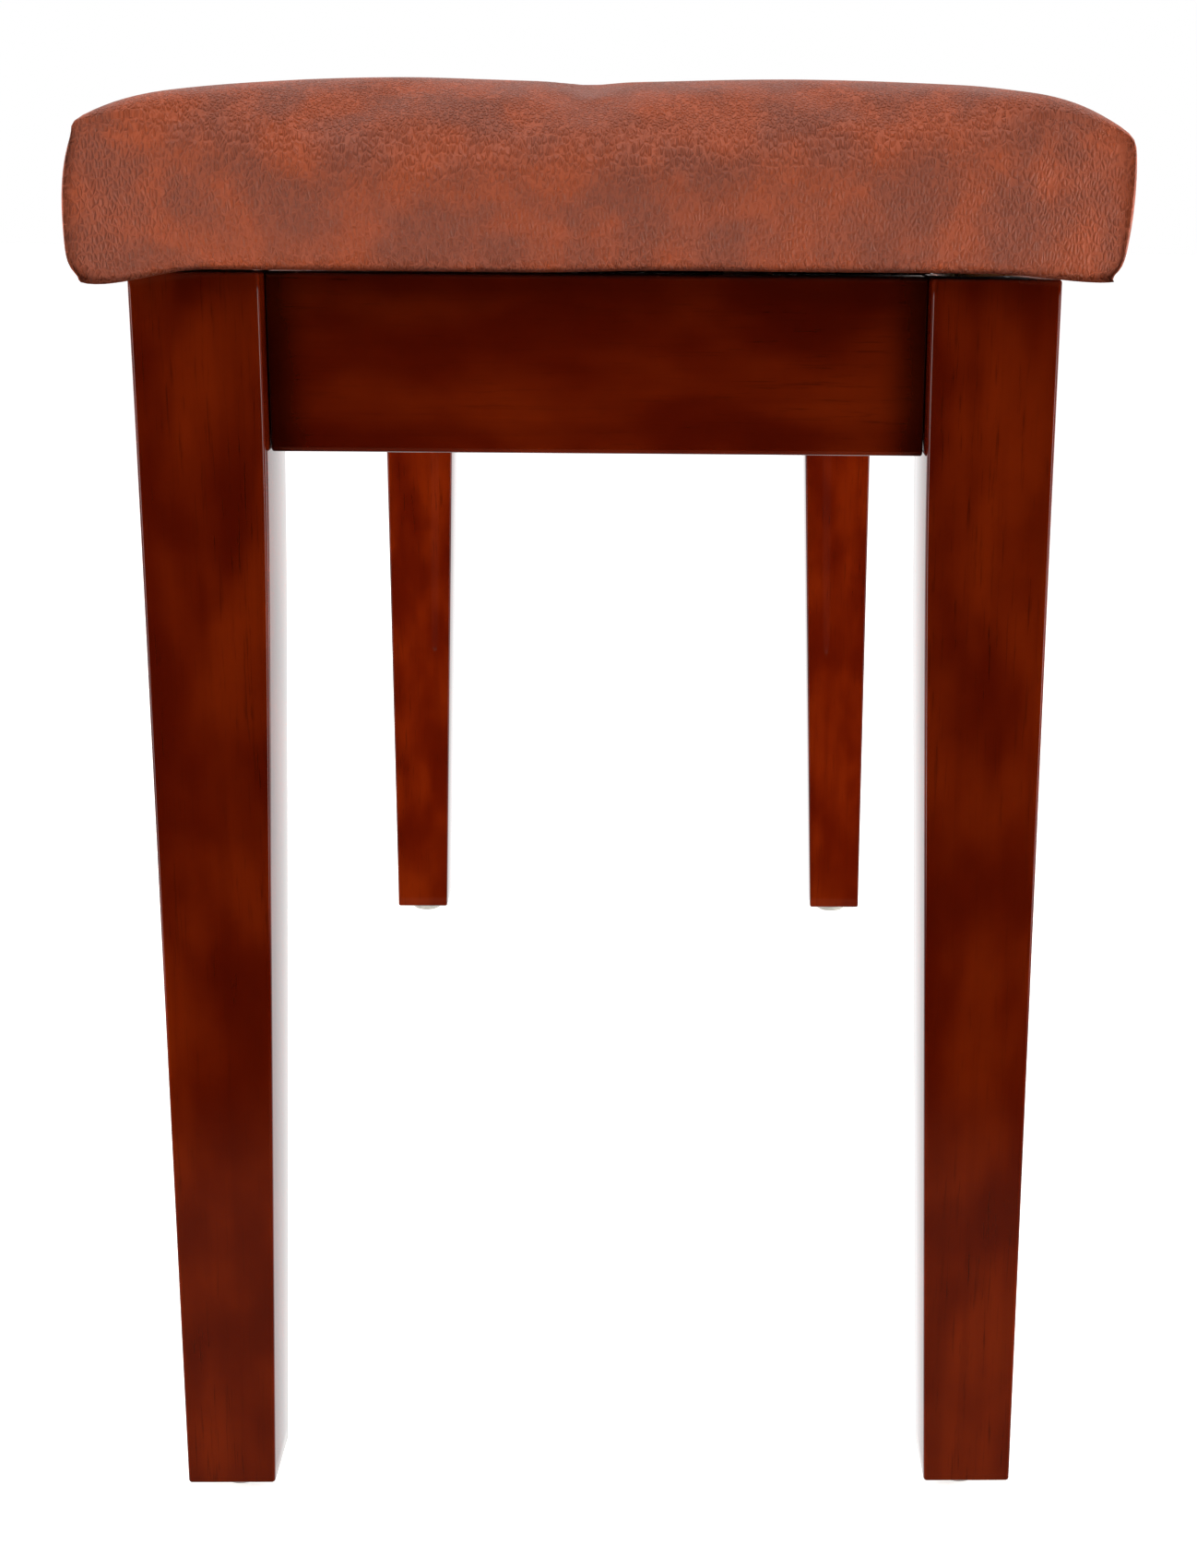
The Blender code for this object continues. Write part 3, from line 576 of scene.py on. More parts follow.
def hardboardFinish(name):
    # pressed fibre sheet, smooth and brown, with short fibres showing
    made, graph, place = newMaterial(name)
    fibres = graph.noise(graph.mapped(place, (900.0, 260.0, 500.0)), 1.0, 5.0, 0.65, 1.2)
    clouds = graph.noise(place, 26.0, 3.0)
    shade = graph.mix(graph.fade(clouds, 0.35, 0.65), (0.125, 0.057, 0.023, 1.0), (0.145, 0.069, 0.029, 1.0))
    shade = graph.mix(graph.fade(fibres, 0.48, 0.70, 0.0, 0.55), shade, (0.055, 0.024, 0.010, 1.0))
    return finishMaterial(made, graph, {
        "Base Color": shade, "Roughness": graph.fade(fibres, 0.3, 0.7, 0.42, 0.60),
        "Normal": graph.bump(fibres, 0.3, 0.0002)})


def plywoodFinish(name, plies, low, high):
    # pale board: long grain on its faces, plies along its edge
    made, graph, place = newMaterial(name)
    grain = graph.noise(graph.mapped(place, (7.0, 420.0, 420.0)), 1.0, 5.0, 0.6, 0.5)
    height = graph.split(place)[2]
    layer = ((height - low) / (high - low) * plies).math("FRACT")
    glue = graph.fade(layer.math("PINGPONG", 0.5), 0.0, 0.08, 1.0, 0.0)
    shade = graph.mix(graph.fade(grain, 0.35, 0.7), (0.62, 0.42, 0.24, 1.0), (0.43, 0.26, 0.13, 1.0))
    shade = graph.mix(glue * 0.6, shade, (0.16, 0.08, 0.04, 1.0))
    return finishMaterial(made, graph, {
        "Base Color": shade, "Roughness": graph.fade(grain, 0.3, 0.7, 0.55, 0.72),
        "Normal": graph.bump(grain, 0.2, 0.0003)})


def liningFinish(name):
    # thin black non-woven cloth, point bonded
    made, graph, place = newMaterial(name)
    fibres = graph.noise(graph.mapped(place, (1500.0, 1500.0, 1500.0)), 1.0, 3.0, 0.7, 1.5)
    bonds = graph.add("ShaderNodeTexVoronoi", {"feature": "F1", "voronoi_dimensions": "2D"},
                      {"Vector": place, "Scale": 620.0, "Randomness": 0.1}, "Distance")
    pressed = graph.fade(bonds, 0.12, 0.30, 1.0, 0.0)
    shade = graph.mix(graph.fade(fibres, 0.4, 0.7), (0.010, 0.010, 0.011, 1.0), (0.035, 0.035, 0.037, 1.0))
    shade = graph.mix(pressed * 0.6, shade, (0.006, 0.006, 0.007, 1.0))
    return finishMaterial(made, graph, {
        "Base Color": shade, "Roughness": graph.fade(fibres, 0.3, 0.7, 0.75, 0.92),
        "Normal": graph.bump(fibres - pressed * 0.8, 0.5, 0.0002)})


makeCamera(cameraValues)
makeStudio(studioValues)
copiesOnPoints = copyTree()
anyTurn = 6.28      # a copy may be turned by any angle

uprightWood = lacquer("mahoganyUpright", "z", lacquerValues)
# the aprons get painted shade towards their ends, next to the legs
apronEnds = [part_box("apron_front")[1].x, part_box("apron_right")[1].y]
longWood = lacquer("mahoganyLong", "x", lacquerValues, apronEnds[0])
crossWood = lacquer("mahoganyAcross", "y", lacquerValues, apronEnds[1])
cushionSkin = leatherette("leatheretteCushion", leatherValues, "grainMap")
buttonSkin = leatherette("leatheretteButton", leatherValues, None)
zincSteel = metal("zincSteel", (0.56, 0.56, 0.54, 1.0), (0.49, 0.50, 0.50, 1.0), 0.26)
brassSteel = metal("brassSteel", (0.62, 0.44, 0.17, 1.0), (0.57, 0.40, 0.16, 1.0), 0.24)
nylon = plastic("glideNylon", (0.46, 0.47, 0.46, 1.0), (0.34, 0.35, 0.35, 1.0), 0.34, 0.10)
rubber = plastic("bumperRubber", (0.020, 0.020, 0.021, 1.0), (0.032, 0.032, 0.033, 1.0), 0.55, 0.20)
hardboard = hardboardFinish("hardboard")
boardLow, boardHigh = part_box("seat_board")
plywood = plywoodFinish("plywood", 5, boardLow.z, boardHigh.z)
lining = liningFinish("blackLining")
print("studio and finishes ready")


# legs

legValues = {
    "foot": 0.0052,
    "topSide": 0.0425,
    "footSide": 0.032,
    "taperStart": 0.372,
    "taperBlend": 0.040,
    "splay": 0.0014,       # the feet stand this much further apart than the tops
    "edge": 0.0018,        # radius of the four long edges
    "endEdge": 0.0011,
    "cornerCut": 0.010,    # inner corner cut back behind the bracket
    "cutFrom": 0.390,
    "rings": 64,
}


def legTree():
    lengths = ("Corner X", "Corner Y", "Side X", "Side Y", "Foot", "Top", "Top Side", "Foot Side",
               "Taper Start", "Taper Blend", "Splay", "Edge", "Corner Cut", "Cut From")
    graph, given = newTree("taperedLeg", [(label, "Float") for label in lengths] +
                           [("Rings", "Int"), ("Finish", "Material")])
    upright = graph.add("GeometryNodeCurvePrimitiveLine", None, {
        "Start": graph.join(z=given["Foot"]), "End": graph.join(z=given["Top"])}, "Curve")
    upright = graph.add("GeometryNodeResampleCurve", None, {"Curve": upright, "Count": given["Rings"]},
                        "Curve")
    square = graph.add("GeometryNodeCurvePrimitiveQuadrilateral", None, {
        "Width": given["Top Side"], "Height": given["Top Side"]}, "Curve")
    square = graph.add("GeometryNodeFilletCurve", {"mode": "POLY"}, {
        "Curve": square, "Count": 5, "Radius": given["Edge"]}, "Curve")
    column = graph.add("GeometryNodeCurveToMesh", None, {
        "Curve": upright, "Profile Curve": square, "Fill Caps": True}, "Mesh")

    # the section shrinks towards the foot, and its outer corner stays in line
    place = graph.add("GeometryNodeInputPosition")
    x, y, z = graph.split(place)

    def sloped(height):
        drop = given["Taper Start"] - height
        return (drop + (drop * drop + given["Taper Blend"] * given["Taper Blend"]).math("SQRT")) / 2

    share = (sloped(z) - sloped(given["Top"])) / (sloped(given["Foot"]) - sloped(given["Top"]))
    side = given["Top Side"] - (given["Top Side"] - given["Foot Side"]) * share
    shrink = side / given["Top Side"]
    moved = graph.join(
        given["Corner X"] + x * shrink - given["Side X"] * side / 2,
        given["Corner Y"] + y * shrink - given["Side Y"] * (side / 2 - given["Splay"] * share), z)
    column = graph.add("GeometryNodeSetPosition", None, {"Geometry": column, "Position": moved}, "Geometry")

    # a block set at 45 degrees takes off the inner corner
    blockWide, blockTall = 0.04, 0.12
    block = graph.add("GeometryNodeMeshCube", None, {"Size": (blockWide, blockWide, blockTall)}, "Mesh")
    depth = given["Top Side"] * 2 - given["Corner Cut"] + blockWide / math.sqrt(2)
    block = graph.add("GeometryNodeTransform", None, {
        "Geometry": block, "Rotation": (0.0, 0.0, math.pi / 4),
        "Translation": graph.join(
            given["Corner X"] - given["Side X"] * depth / 2,
            given["Corner Y"] - given["Side Y"] * depth / 2, given["Cut From"] + blockTall / 2)}, "Geometry")
    column = graph.add("GeometryNodeMeshBoolean", {"operation": "DIFFERENCE"}, {
        "Mesh 1": column, "Mesh 2": block}, "Mesh")
    return endTree(graph, column, given["Finish"])


def makeLegs(values):
    tree = legTree()
    for sx, sy in corners:
        node = "leg_" + cornerName(sx, sy)
        low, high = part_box(node)
        leg = grow("leg" + titled(cornerName(sx, sy)), tree, {
            "Corner X": high.x if sx > 0 else low.x, "Corner Y": high.y if sy > 0 else low.y,
            "Side X": float(sx), "Side Y": float(sy), "Foot": values["foot"], "Top": high.z,
            "Top Side": values["topSide"], "Foot Side": values["footSide"],
            "Taper Start": values["taperStart"], "Taper Blend": values["taperBlend"],
            "Splay": values["splay"], "Edge": values["edge"],
            "Corner Cut": values["cornerCut"], "Cut From": values["cutFrom"], "Rings": values["rings"],
            "Finish": uprightWood}, bevel=(values["endEdge"], 3, 50.0))
        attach(leg, "bench")
        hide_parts(node)


makeLegs(legValues)
print("legs done")


# box: aprons, floor, brackets, bolts, glides

boxValues = {"apronEdge": 0.0008, "floorEdge": 0.0003, "bracketEdge": 0.0004}


def makeBox(values):
    for side, wood in (("front", longWood), ("back", longWood), ("left", crossWood), ("right", crossWood)):
        refine("apron_" + side, "apron" + side.title(), wood, values["apronEdge"], 3)
    refine("storage_floor", "storageFloor", hardboard, values["floorEdge"])
    for sx, sy in corners:
        name = cornerName(sx, sy)
        refine("corner_bracket_" + name, "cornerBracket" + titled(name), zincSteel,
               values["bracketEdge"], 2, 30.0)


makeBox(boxValues)
print("box done")


hardwareValues = {
    "glideRadius": 0.0095, "glideHeight": 0.0049,
    "nutRadius": 0.0071, "nutHeight": 0.0064, "washer": 0.009, "washerThick": 0.0016,
    "boltRadius": 0.0036, "threadPitch": 0.00125,
    "tail": 0.006,         # bolt thread showing past the nut
    "reach": 0.030,        # and how far it runs into the leg
}


def glidePart(values):
    radius, height = values["glideRadius"], values["glideHeight"]
    profile = [(0.0, 0.0), (radius * 0.45, 0.0)]
    profile += arc(radius - height * 0.55, height * 0.55, height * 0.55, -90.0, 0.0, 6)
    profile += [(radius, height * 0.86), (radius * 0.985, height * 0.9), (radius * 0.97, height),
                (0.0, height)]
    bm = bmesh.new()
    lathe(bm, profile, 40)
    return addPiece("glidePart", bm)


def hexNut(bm, radius, low, high, bore):
    # chamfered hexagon nut as rings of a six-sided outline that grows round near its ends
    count = 36

    def ring(scale, height):
        verts = []
        for k in range(count):
            a = 2 * math.pi * k / count
            flat = radius * math.cos(math.pi / 6) / math.cos((a % (math.pi / 3)) - math.pi / 6)
            r = min(flat, radius * scale)
            verts.append(bm.verts.new((r * math.cos(a), r * math.sin(a), height)))
        return verts

    inner = [bm.verts.new((bore * math.cos(2 * math.pi * k / count),
                           bore * math.sin(2 * math.pi * k / count), low))
             for k in range(count)]
    crown = (high - low) * 0.10
    rings = [inner, ring(0.86, low), ring(0.93, low + crown * 0.5), ring(1.0, low + crown * 1.3),
             ring(1.0, high - crown * 1.3), ring(0.93, high - crown * 0.5), ring(0.86, high)]
    rings.append([bm.verts.new((v.co.x, v.co.y, high)) for v in inner])
    rings.append(inner)
    for a, b in zip(rings, rings[1:]):
        for k in range(count):
            n = (k + 1) % count
            bm.faces.new((a[k], a[n], b[n], b[k]))


def boltPart(values, back, reach):
    # local Z runs into the leg; the bracket's web lies at z = 0
    bm = bmesh.new()
    radius, pitch = values["boltRadius"], values["threadPitch"]
    thick, nut = values["washerThick"], values["nutHeight"]
    washer = values["washer"]
    tail = -thick - nut - back
    profile = [(0.0, tail), (radius * 0.72, tail)]
    z = tail + 0.0006
    while z < -0.0005:
        profile += [(radius * 0.86, z), (radius, z + pitch * 0.5)]
        z += pitch
    profile += [(radius * 0.97, 0.0), (radius * 0.97, reach - 0.006), (radius * 0.5, reach), (0.0, reach)]
    lathe(bm, profile, 24)
    lathe(bm, [(radius * 1.02, 0.0), (washer * 0.97, 0.0), (washer, -thick * 0.25), (washer, -thick * 0.75),
               (washer * 0.97, -thick), (radius * 1.02, -thick)], 32)
    hexNut(bm, values["nutRadius"], -thick - nut, -thick, radius * 1.01)
    bmesh.ops.recalc_face_normals(bm, faces=bm.faces)
    return addPiece("boltPart", bm)


def screwPart(name, radius, height, pan, bite=0.004):
    # cross-head screw; the surface it sits on is at z = 0
    bm = bmesh.new()
    crown = arc(0.0, 0.0, 1.0, 0.0, 90.0, 6)
    if pan:
        top = [(radius * (0.55 + 0.45 * c), height * (0.25 + 0.75 * s)) for c,
               s in crown[:-1]] + [(0.0, height)]
        low = [(0.0, -bite), (radius * 0.35, -bite), (radius * 0.42, 0.0), (radius * 0.98, 0.0)]
    else:
        top = [(radius, 0.0), (radius * 0.93, height * 0.55), (radius * 0.6, height), (0.0, height)]
        low = [(0.0, -bite), (radius * 0.35, -bite), (radius * 0.42, -radius * 0.5)]
    lathe(bm, low + top, 24)
    screw = addPiece(name, bm)
    bm = bmesh.new()
    for wide, deep in ((radius * 1.02, radius * 0.22), (radius * 0.22, radius * 1.02)):
        cube = bmesh.ops.create_cube(bm, size=1.0)["verts"]
        for vert in cube:
            taper = 0.45 if vert.co.z < 0 else 1.0
            vert.co = Vector((vert.co.x * wide * taper, vert.co.y * deep * taper,
                              height * 1.2 if vert.co.z > 0 else height * 0.05))
    bmesh.ops.recalc_face_normals(bm, faces=bm.faces)
    driver = addPiece(name + "Driver", bm)
    cut = screw.modifiers.new("recess", "BOOLEAN")
    cut.operation, cut.solver, cut.object = "DIFFERENCE", "EXACT", driver
    cut.use_self = True
    settle(screw)
    bpy.data.objects.remove(driver)
    return screw


def bumperPart():
    low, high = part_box("lid_bumper_right")
    radius, height = (high.x - low.x) / 2, high.z - low.z
    profile = [(0.0, 0.0), (radius * 0.80, 0.0)] + arc(radius - height * 0.35, height * 0.35,
                                                       height * 0.35, -70.0, 0.0, 4)
    profile += [(radius, height), (0.0, height)]
    bm = bmesh.new()
    lathe(bm, profile, 36)
    return addPiece("bumperPart", bm)


def spare(*parts):
    for part in parts:
        bpy.data.objects.remove(part)


def makeHardware(values):
    part = glidePart(values)
    feet = ["foot_glide_" + cornerName(sx, sy) for sx, sy in corners]
    glides = growCopies("footGlides", part, [footOf(n) for n in feet], [(0, 0, 1)] * 4, nylon, "bench")
    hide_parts(*feet)
    spare(part)

    places, aims = [], []
    for sx, sy in corners:
        name = cornerName(sx, sy)
        low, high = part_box("leg_bolt_" + name)
        out = Vector((sx, sy, 0)).normalized()
        # the washer's back lies on the bracket's web, one bolt tail, nut and washer in from the inner end
        middle = (low + high) / 2
        inner = Vector((low.x if sx > 0 else high.x, low.y if sy > 0 else high.y, middle.z))
        depth = values["tail"] + values["nutHeight"] + values["washerThick"] + values["boltRadius"]
        places.append(middle + out * ((inner - middle).dot(out) + depth))
        aims.append(out)
    part = boltPart(values, values["tail"], values["reach"])
    bolts = growCopies("legBolts", part, places, aims, zincSteel, "bench", anyTurn, 5, 30.0)
    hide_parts(*["leg_bolt_" + cornerName(sx, sy) for sx, sy in corners])
    spare(part)

    part = bumperPart()
    pads = ["lid_bumper_right", "lid_bumper_left"]
    bumpers = growCopies("lidBumpers", part, [footOf(n) for n in pads], [(0, 0, 1)] * 2, rubber,
                         bodyOf(pads[0]))
    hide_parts(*pads)
    spare(part)


makeHardware(hardwareValues)
print("hardware done")


# hinges and lid stays

fittingValues = {
    "leafThick": 0.0009, "screwLine": 0.0085,    # hinge leaf, and its screws' distance from its front edge
    "screwShares": (0.14, 0.5, 0.86),            # where they stand along it
    "flushHeight": 0.0004, "flushBite": 0.003, "panHeight": 0.0017,
    "bracketSheet": 0.002, "bracketScrewIn": 0.008, "boardEdge": 0.0006,
    "hingeEdge": 0.00022, "stayEdge": 0.0003,
    "hingeScrew": 0.0026, "stayScrew": 0.0024, "bracketScrew": 0.0030,
}


def makeFittings(values):
    for side in ("right", "left"):
        title = side.title()
        for node, name in (("hinge_box_leaf_", "hingeBoxLeaf"), ("hinge_lid_leaf_", "hingeLidLeaf"),
                           ("hinge_pin_", "hingePin")):
            refine(node + side, name + title, brassSteel, values["hingeEdge"], 2, 40.0, 30.0)
        for node, name in (("stay_box_plate_", "stayBoxPlate"), ("stay_lower_arm_", "stayLowerArm"),
                           ("stay_upper_arm_", "stayUpperArm"), ("stay_lid_plate_", "stayLidPlate")):
            refine(node + side, name + title, zincSteel, values["stayEdge"], 2, 40.0, 30.0)
    refine("seat_board", "seatBoard", plywood, values["boardEdge"])

    small = screwPart("hingeScrewPart", values["hingeScrew"], values["flushHeight"], False,
                      values["flushBite"])
    places = {"bench": [], "lid": []}
    for side in ("right", "left"):
        for node, body, up in (("hinge_box_leaf_", "bench", 1), ("hinge_lid_leaf_", "lid", -1)):
            low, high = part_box(node + side)
            z = low.z + values["leafThick"] if up > 0 else high.z - values["leafThick"]
            for share in values["screwShares"]:
                places[body].append((low.x + (high.x - low.x) * share, low.y + values["screwLine"], z))
    growCopies("hingeScrewsBox", small, places["bench"], [(0, 0, 1)] * 6, brassSteel, "bench",
               anyTurn, 3)
    growCopies("hingeScrewsLid", small, places["lid"], [(0, 0, -1)] * 6, brassSteel, "lid",
               anyTurn, 4)
    spare(small)

    pan = screwPart("bracketScrewPart", values["bracketScrew"], values["panHeight"], True)
    spots, aims = [], []
    for sx, sy in corners:
        low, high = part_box("corner_bracket_" + cornerName(sx, sy))
        for share in (0.25, 0.75):
            z = low.z + (high.z - low.z) * share
            nearX = low.x if sx > 0 else high.x
            nearY = low.y if sy > 0 else high.y
            wallX = (high.x if sx > 0 else low.x) - sx * values["bracketSheet"]
            wallY = (high.y if sy > 0 else low.y) - sy * values["bracketSheet"]
            away = values["bracketScrewIn"]
            spots += [(nearX + sx * away, wallY, z), (wallX, nearY + sy * away, z)]
            aims += [(0, -sy, 0), (-sx, 0, 0)]
    growCopies("bracketScrews", pan, spots, aims, zincSteel, "bench", anyTurn, 8)
    spare(pan)


makeFittings(fittingValues)
print("fittings done")


# the cushion

cushionValues = {
    "pitch": 0.0056,            # size of a mesh cell
    "sideCells": 10,
    "crest": 0.5034,
    "lean": 0.0014,             # the filling stands higher at the back
    "rise": 0.0015,             # and higher along the middle than over the ends
    "endHalf": (0.1690, 0.1722),  # half width near the ends, front and back
    "endRoll": 0.017,           # the top rolls over into the end panel
    "endDrop": (0.0105, 0.0015),  # how far it falls there, in the middle and at the corners
    # the long edges, front and back: width of the roll, its drop, its power
    "sideRoll": ((0.038, 0.0120, 2.2), (0.031, 0.0145, 1.7)),
    "bulge": 0.0032,            # side panels swell at mid height
    "topPull": (0.0046, 0.0004),  # and lean in above, front and back
    "footPull": (0.0010, 0.0034),  # and below
    "cornerPull": 0.0022,       # the vertical edges are drawn in
    "rimHang": (0.0028, 0.0019),  # the lower edge hangs over the frame, front and back
    "lip": (0.0052, 0.0026),    # the lower corners hang further, front and back
    "footRound": 0.0035,        # the lower edge of the skin turns under
    "tuft": 0.0105,
    "tuftWidth": 0.021,
    "valley": 0.0032,
    "valleyWidth": 0.016,
    "pressure": 4.0,
    "frames": 20,
    "cap": 0.008,
}


def buttonPlaces():
    return [footOf(n)[:2] for n in sorted(nodes) if n.startswith("tuft_button_")]


def smoothStep(value, low, high):
    t = min(1.0, max(0.0, (value - low) / (high - low)))
    return t * t * (3 - 2 * t)


def segmentDistance(point, a, b):
    along = b - a
    t = max(0.0, min(1.0, (point - a).dot(along) / along.length_squared))
    return (point - (a + along * t)).length


def valleyLines(buttons, halfX, halfY):
    # creases run between neighbouring buttons and out to the edges
    spots = [Vector(b) for b in buttons]
    rowY = max(abs(b.y) for b in spots)
    endX = max(abs(b.x) for b in spots)
    lines = []
    for i, a in enumerate(spots):
        for b in spots[i + 1:]:
            if abs(abs(a.y - b.y) - rowY) < 0.01 and abs(a.x - b.x) < 0.08:
                lines.append((a, b, 1.0))
        if abs(a.y) > 0.01:
            lines.append((a, Vector((a.x, math.copysign(halfY, a.y))), 0.8))
        if abs(abs(a.x) - endX) < 0.01 and abs(a.y) < 0.01:
            lines.append((a, Vector((math.copysign(halfX, a.x), 0.0)), 0.15))
    return lines


def latticeBox(counts, place):
    # closed box of square cells; place turns a lattice point into a position
    nx, ny, nz = counts
    bm = bmesh.new()
    verts = {}

    def vert(i, j, k):
        key = (i, j, k)
        if key not in verts:
            verts[key] = bm.verts.new(place(i, j, k))
        return verts[key]

    for i in range(nx):
        for j in range(ny):
            bm.faces.new((vert(i, j, nz), vert(i + 1, j, nz), vert(i + 1, j + 1, nz), vert(i, j + 1, nz)))
            bm.faces.new((vert(i, j, 0), vert(i, j + 1, 0), vert(i + 1, j + 1, 0), vert(i + 1, j, 0)))
    for k in range(nz):
        for i in range(nx):
            bm.faces.new((vert(i, 0, k), vert(i + 1, 0, k), vert(i + 1, 0, k + 1), vert(i, 0, k + 1)))
            bm.faces.new((vert(i, ny, k), vert(i, ny, k + 1), vert(i + 1, ny, k + 1), vert(i + 1, ny, k)))
        for j in range(ny):
            bm.faces.new((vert(0, j, k), vert(0, j, k + 1), vert(0, j + 1, k + 1), vert(0, j + 1, k)))
            bm.faces.new((vert(nx, j, k), vert(nx, j + 1, k), vert(nx, j + 1, k + 1), vert(nx, j, k + 1)))
    bm.verts.ensure_lookup_table()
    bm.verts.index_update()
    return bm, {key: v.index for key, v in verts.items()}


def makeCushion(values):
    low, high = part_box("seat_cover")
    halfX, halfY = (high.x - low.x) / 2, (high.y - low.y) / 2
    foot = low.z
    sideX, sideY = halfX - values["bulge"], halfY - values["bulge"]
    roll = values["endRoll"]
    buttons = buttonPlaces()
    valleys = valleyLines(buttons, sideX, sideY)
    arcCells = 7
    flatCells = round(2 * (sideX - roll) / values["pitch"])
    nx = flatCells + 2 * arcCells
    ny = round(2 * sideY / values["pitch"])
    nz = values["sideCells"]

    def acrossX(i):
        # distance in from the end and the turn of the roll there, from 0 on top to 1 on the end panel
        m = min(i, nx - i)
        sign = -1.0 if i < nx - i else 1.0
        if m < arcCells:
            angle = math.pi / 2 * (1 - m / arcCells)
            return sign * (sideX - roll + roll * math.sin(angle)), 1 - math.cos(angle)
        share = (i - arcCells) / flatCells
        return (sideX - roll) * (2 * share - 1), 0.0

    def topHeight(x, turn, y):
        v = abs(y) / sideY
        width, depth, power = values["sideRoll"][1 if y > 0 else 0]
        drop = values["endDrop"][0] + (values["endDrop"][1] - values["endDrop"][0]) * v ** 5
        fall = max(0.0, 1 - (sideY - abs(y)) / width) ** power * depth
        return values["crest"] + values["lean"] * y / sideY - turn * drop - fall

    def creases(x, y):
        spot = Vector((x, y))
        pull = 0.0
        for bx, by in buttons:
            r = math.hypot(x - bx, y - by)
            pull += values["tuft"] * math.exp(-(r / values["tuftWidth"]) ** 1.5)
        crease = max(strength * math.exp(-(segmentDistance(spot, a, b) / values["valleyWidth"]) ** 2)
                     for a, b, strength in valleys)
        return pull + crease * values["valley"]

    def place(i, j, k):
        x, turn = acrossX(i)
        y = sideY * (2 * j / ny - 1)
        u, v = abs(x) / sideX, abs(y) / sideY
        top = topHeight(x, turn, y) - creases(x, y) * (1 - 0.8 * turn)
        w = (k / nz) ** 1.3
        swell = values["bulge"] * math.sin(math.pi * min(1.0, w * 0.96 + 0.02)) ** 0.7
        nearCorner = smoothStep(u, 0.90, 1.0) * smoothStep(v, 0.73,
                                                           0.94) * (1 - 0.45 * smoothStep(v, 0.95, 1.0))
        back = smoothStep(y, -0.02, 0.02)
        rim, lip = [values[key][0] * (1 - back) + values[key][1] * back for key in ("rimHang", "lip")]
        hang = (rim + lip * nearCorner) * (1 - w) ** 2
        if k == 0:
            inFromEdge = min(sideX - abs(x), sideY - abs(y))
            z = foot + 0.0002 - hang * (1 - smoothStep(inFromEdge, 0.005, 0.015))
        elif k == nz and 0 < i < nx and 0 < j < ny:
            z = top
        else:
            z = foot + (top - foot) * w - hang
        if k in (0, nz):
            swell = 0.0 if k == 0 else swell * 0.2
        turnedUnder = values["footRound"] * max(0.0, 1 - w / 0.10) ** 2
        if i in (0, nx):
            x = math.copysign(abs(x) + swell * (1 - v ** 6) - values["cornerPull"] * v ** 14 - turnedUnder, x)
        if j in (0, ny):
            side = 1 if y > 0 else 0
            pulled = values["topPull"][side] * w ** 3 + values["footPull"][side] * (1 - w) ** 2 + turnedUnder
            y = math.copysign(abs(y) + swell * (1 - u ** 16) - values["cornerPull"] * u ** 60 - pulled, y)
        ripple = 0.0008 * noise.noise(Vector((x * 23, y * 23, z * 23)))
        return Vector((x, y, z + (ripple if k else 0.0)))

    bm, index = latticeBox((nx, ny, nz), place)
    cushion = addPiece("cushion", bm, cushionSkin)
    mesh = cushion.data

    puffCushion(cushion, index, (nx, ny, nz), buttons, values)
    fitSize(mesh, (halfX, halfY), foot, values)

    unfoldGrain(mesh, index, (nx, ny, nz))
    finer = cushion.modifiers.new("finer", "SUBSURF")
    finer.levels = finer.render_levels = 1
    settle(cushion)
    mesh = cushion.data
    mesh.polygons.foreach_set("use_smooth", [True] * len(mesh.polygons))
    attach(cushion, "lid")
    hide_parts("seat_cover", "foam_pad")
    return cushion


def puffCushion(cushion, index, counts, buttons, values):
    # the filling pushes the skin out between the buttons; underside and buttons hold it
    nx, ny, nz = counts
    mesh = cushion.data
    before = [v.co.copy() for v in mesh.vertices]
    hold = cushion.vertex_groups.new(name="hold")
    for (i, j, k), at in index.items():
        spot = before[at]
        weight = 0.0
        if k == 0:
            weight = 1.0
        elif k == nz:
            reach = min(math.hypot(spot.x - bx, spot.y - by) for bx, by in buttons)
            weight = 1 - smoothStep(reach, 0.006, 0.013)
        if i in (0, nx) and j in (0, ny):
            weight = max(weight, 0.85)
        if weight > 0.01:
            hold.add([at], weight, "REPLACE")
    cloth = cushion.modifiers.new("cloth", "CLOTH")
    settings = cloth.settings
    settings.quality = 6
    settings.mass = 0.4
    settings.tension_stiffness = 22.0
    settings.compression_stiffness = 22.0
    settings.shear_stiffness = 8.0
    settings.bending_stiffness = 1.2
    settings.use_pressure = True
    settings.uniform_pressure_force = values["pressure"]
    settings.effector_weights.gravity = 0.0
    settings.vertex_group_mass = "hold"
    cloth.collision_settings.use_collision = False
    cloth.collision_settings.use_self_collision = False
    cloth.point_cache.frame_start = 1
    cloth.point_cache.frame_end = values["frames"]
    scene = bpy.context.scene
    for step in range(1, values["frames"] + 1):
        scene.frame_set(step)
    shaped = cushion.evaluated_get(bpy.context.evaluated_depsgraph_get()).data
    after = [v.co.copy() for v in shaped.vertices]
    cushion.modifiers.clear()
    scene.frame_set(1)
    for vert, old, new in zip(mesh.vertices, before, after):
        shift = new - old
        if shift.length > values["cap"]:
            shift = shift.normalized() * values["cap"]
        vert.co = old + shift
    mesh.update()
    moved = [(a - b).length for a, b in zip(after, before)]
    print("cushion puffed: mean %.2f mm, most %.2f mm" % (1000 * sum(moved) / len(moved), 1000 * max(moved)))


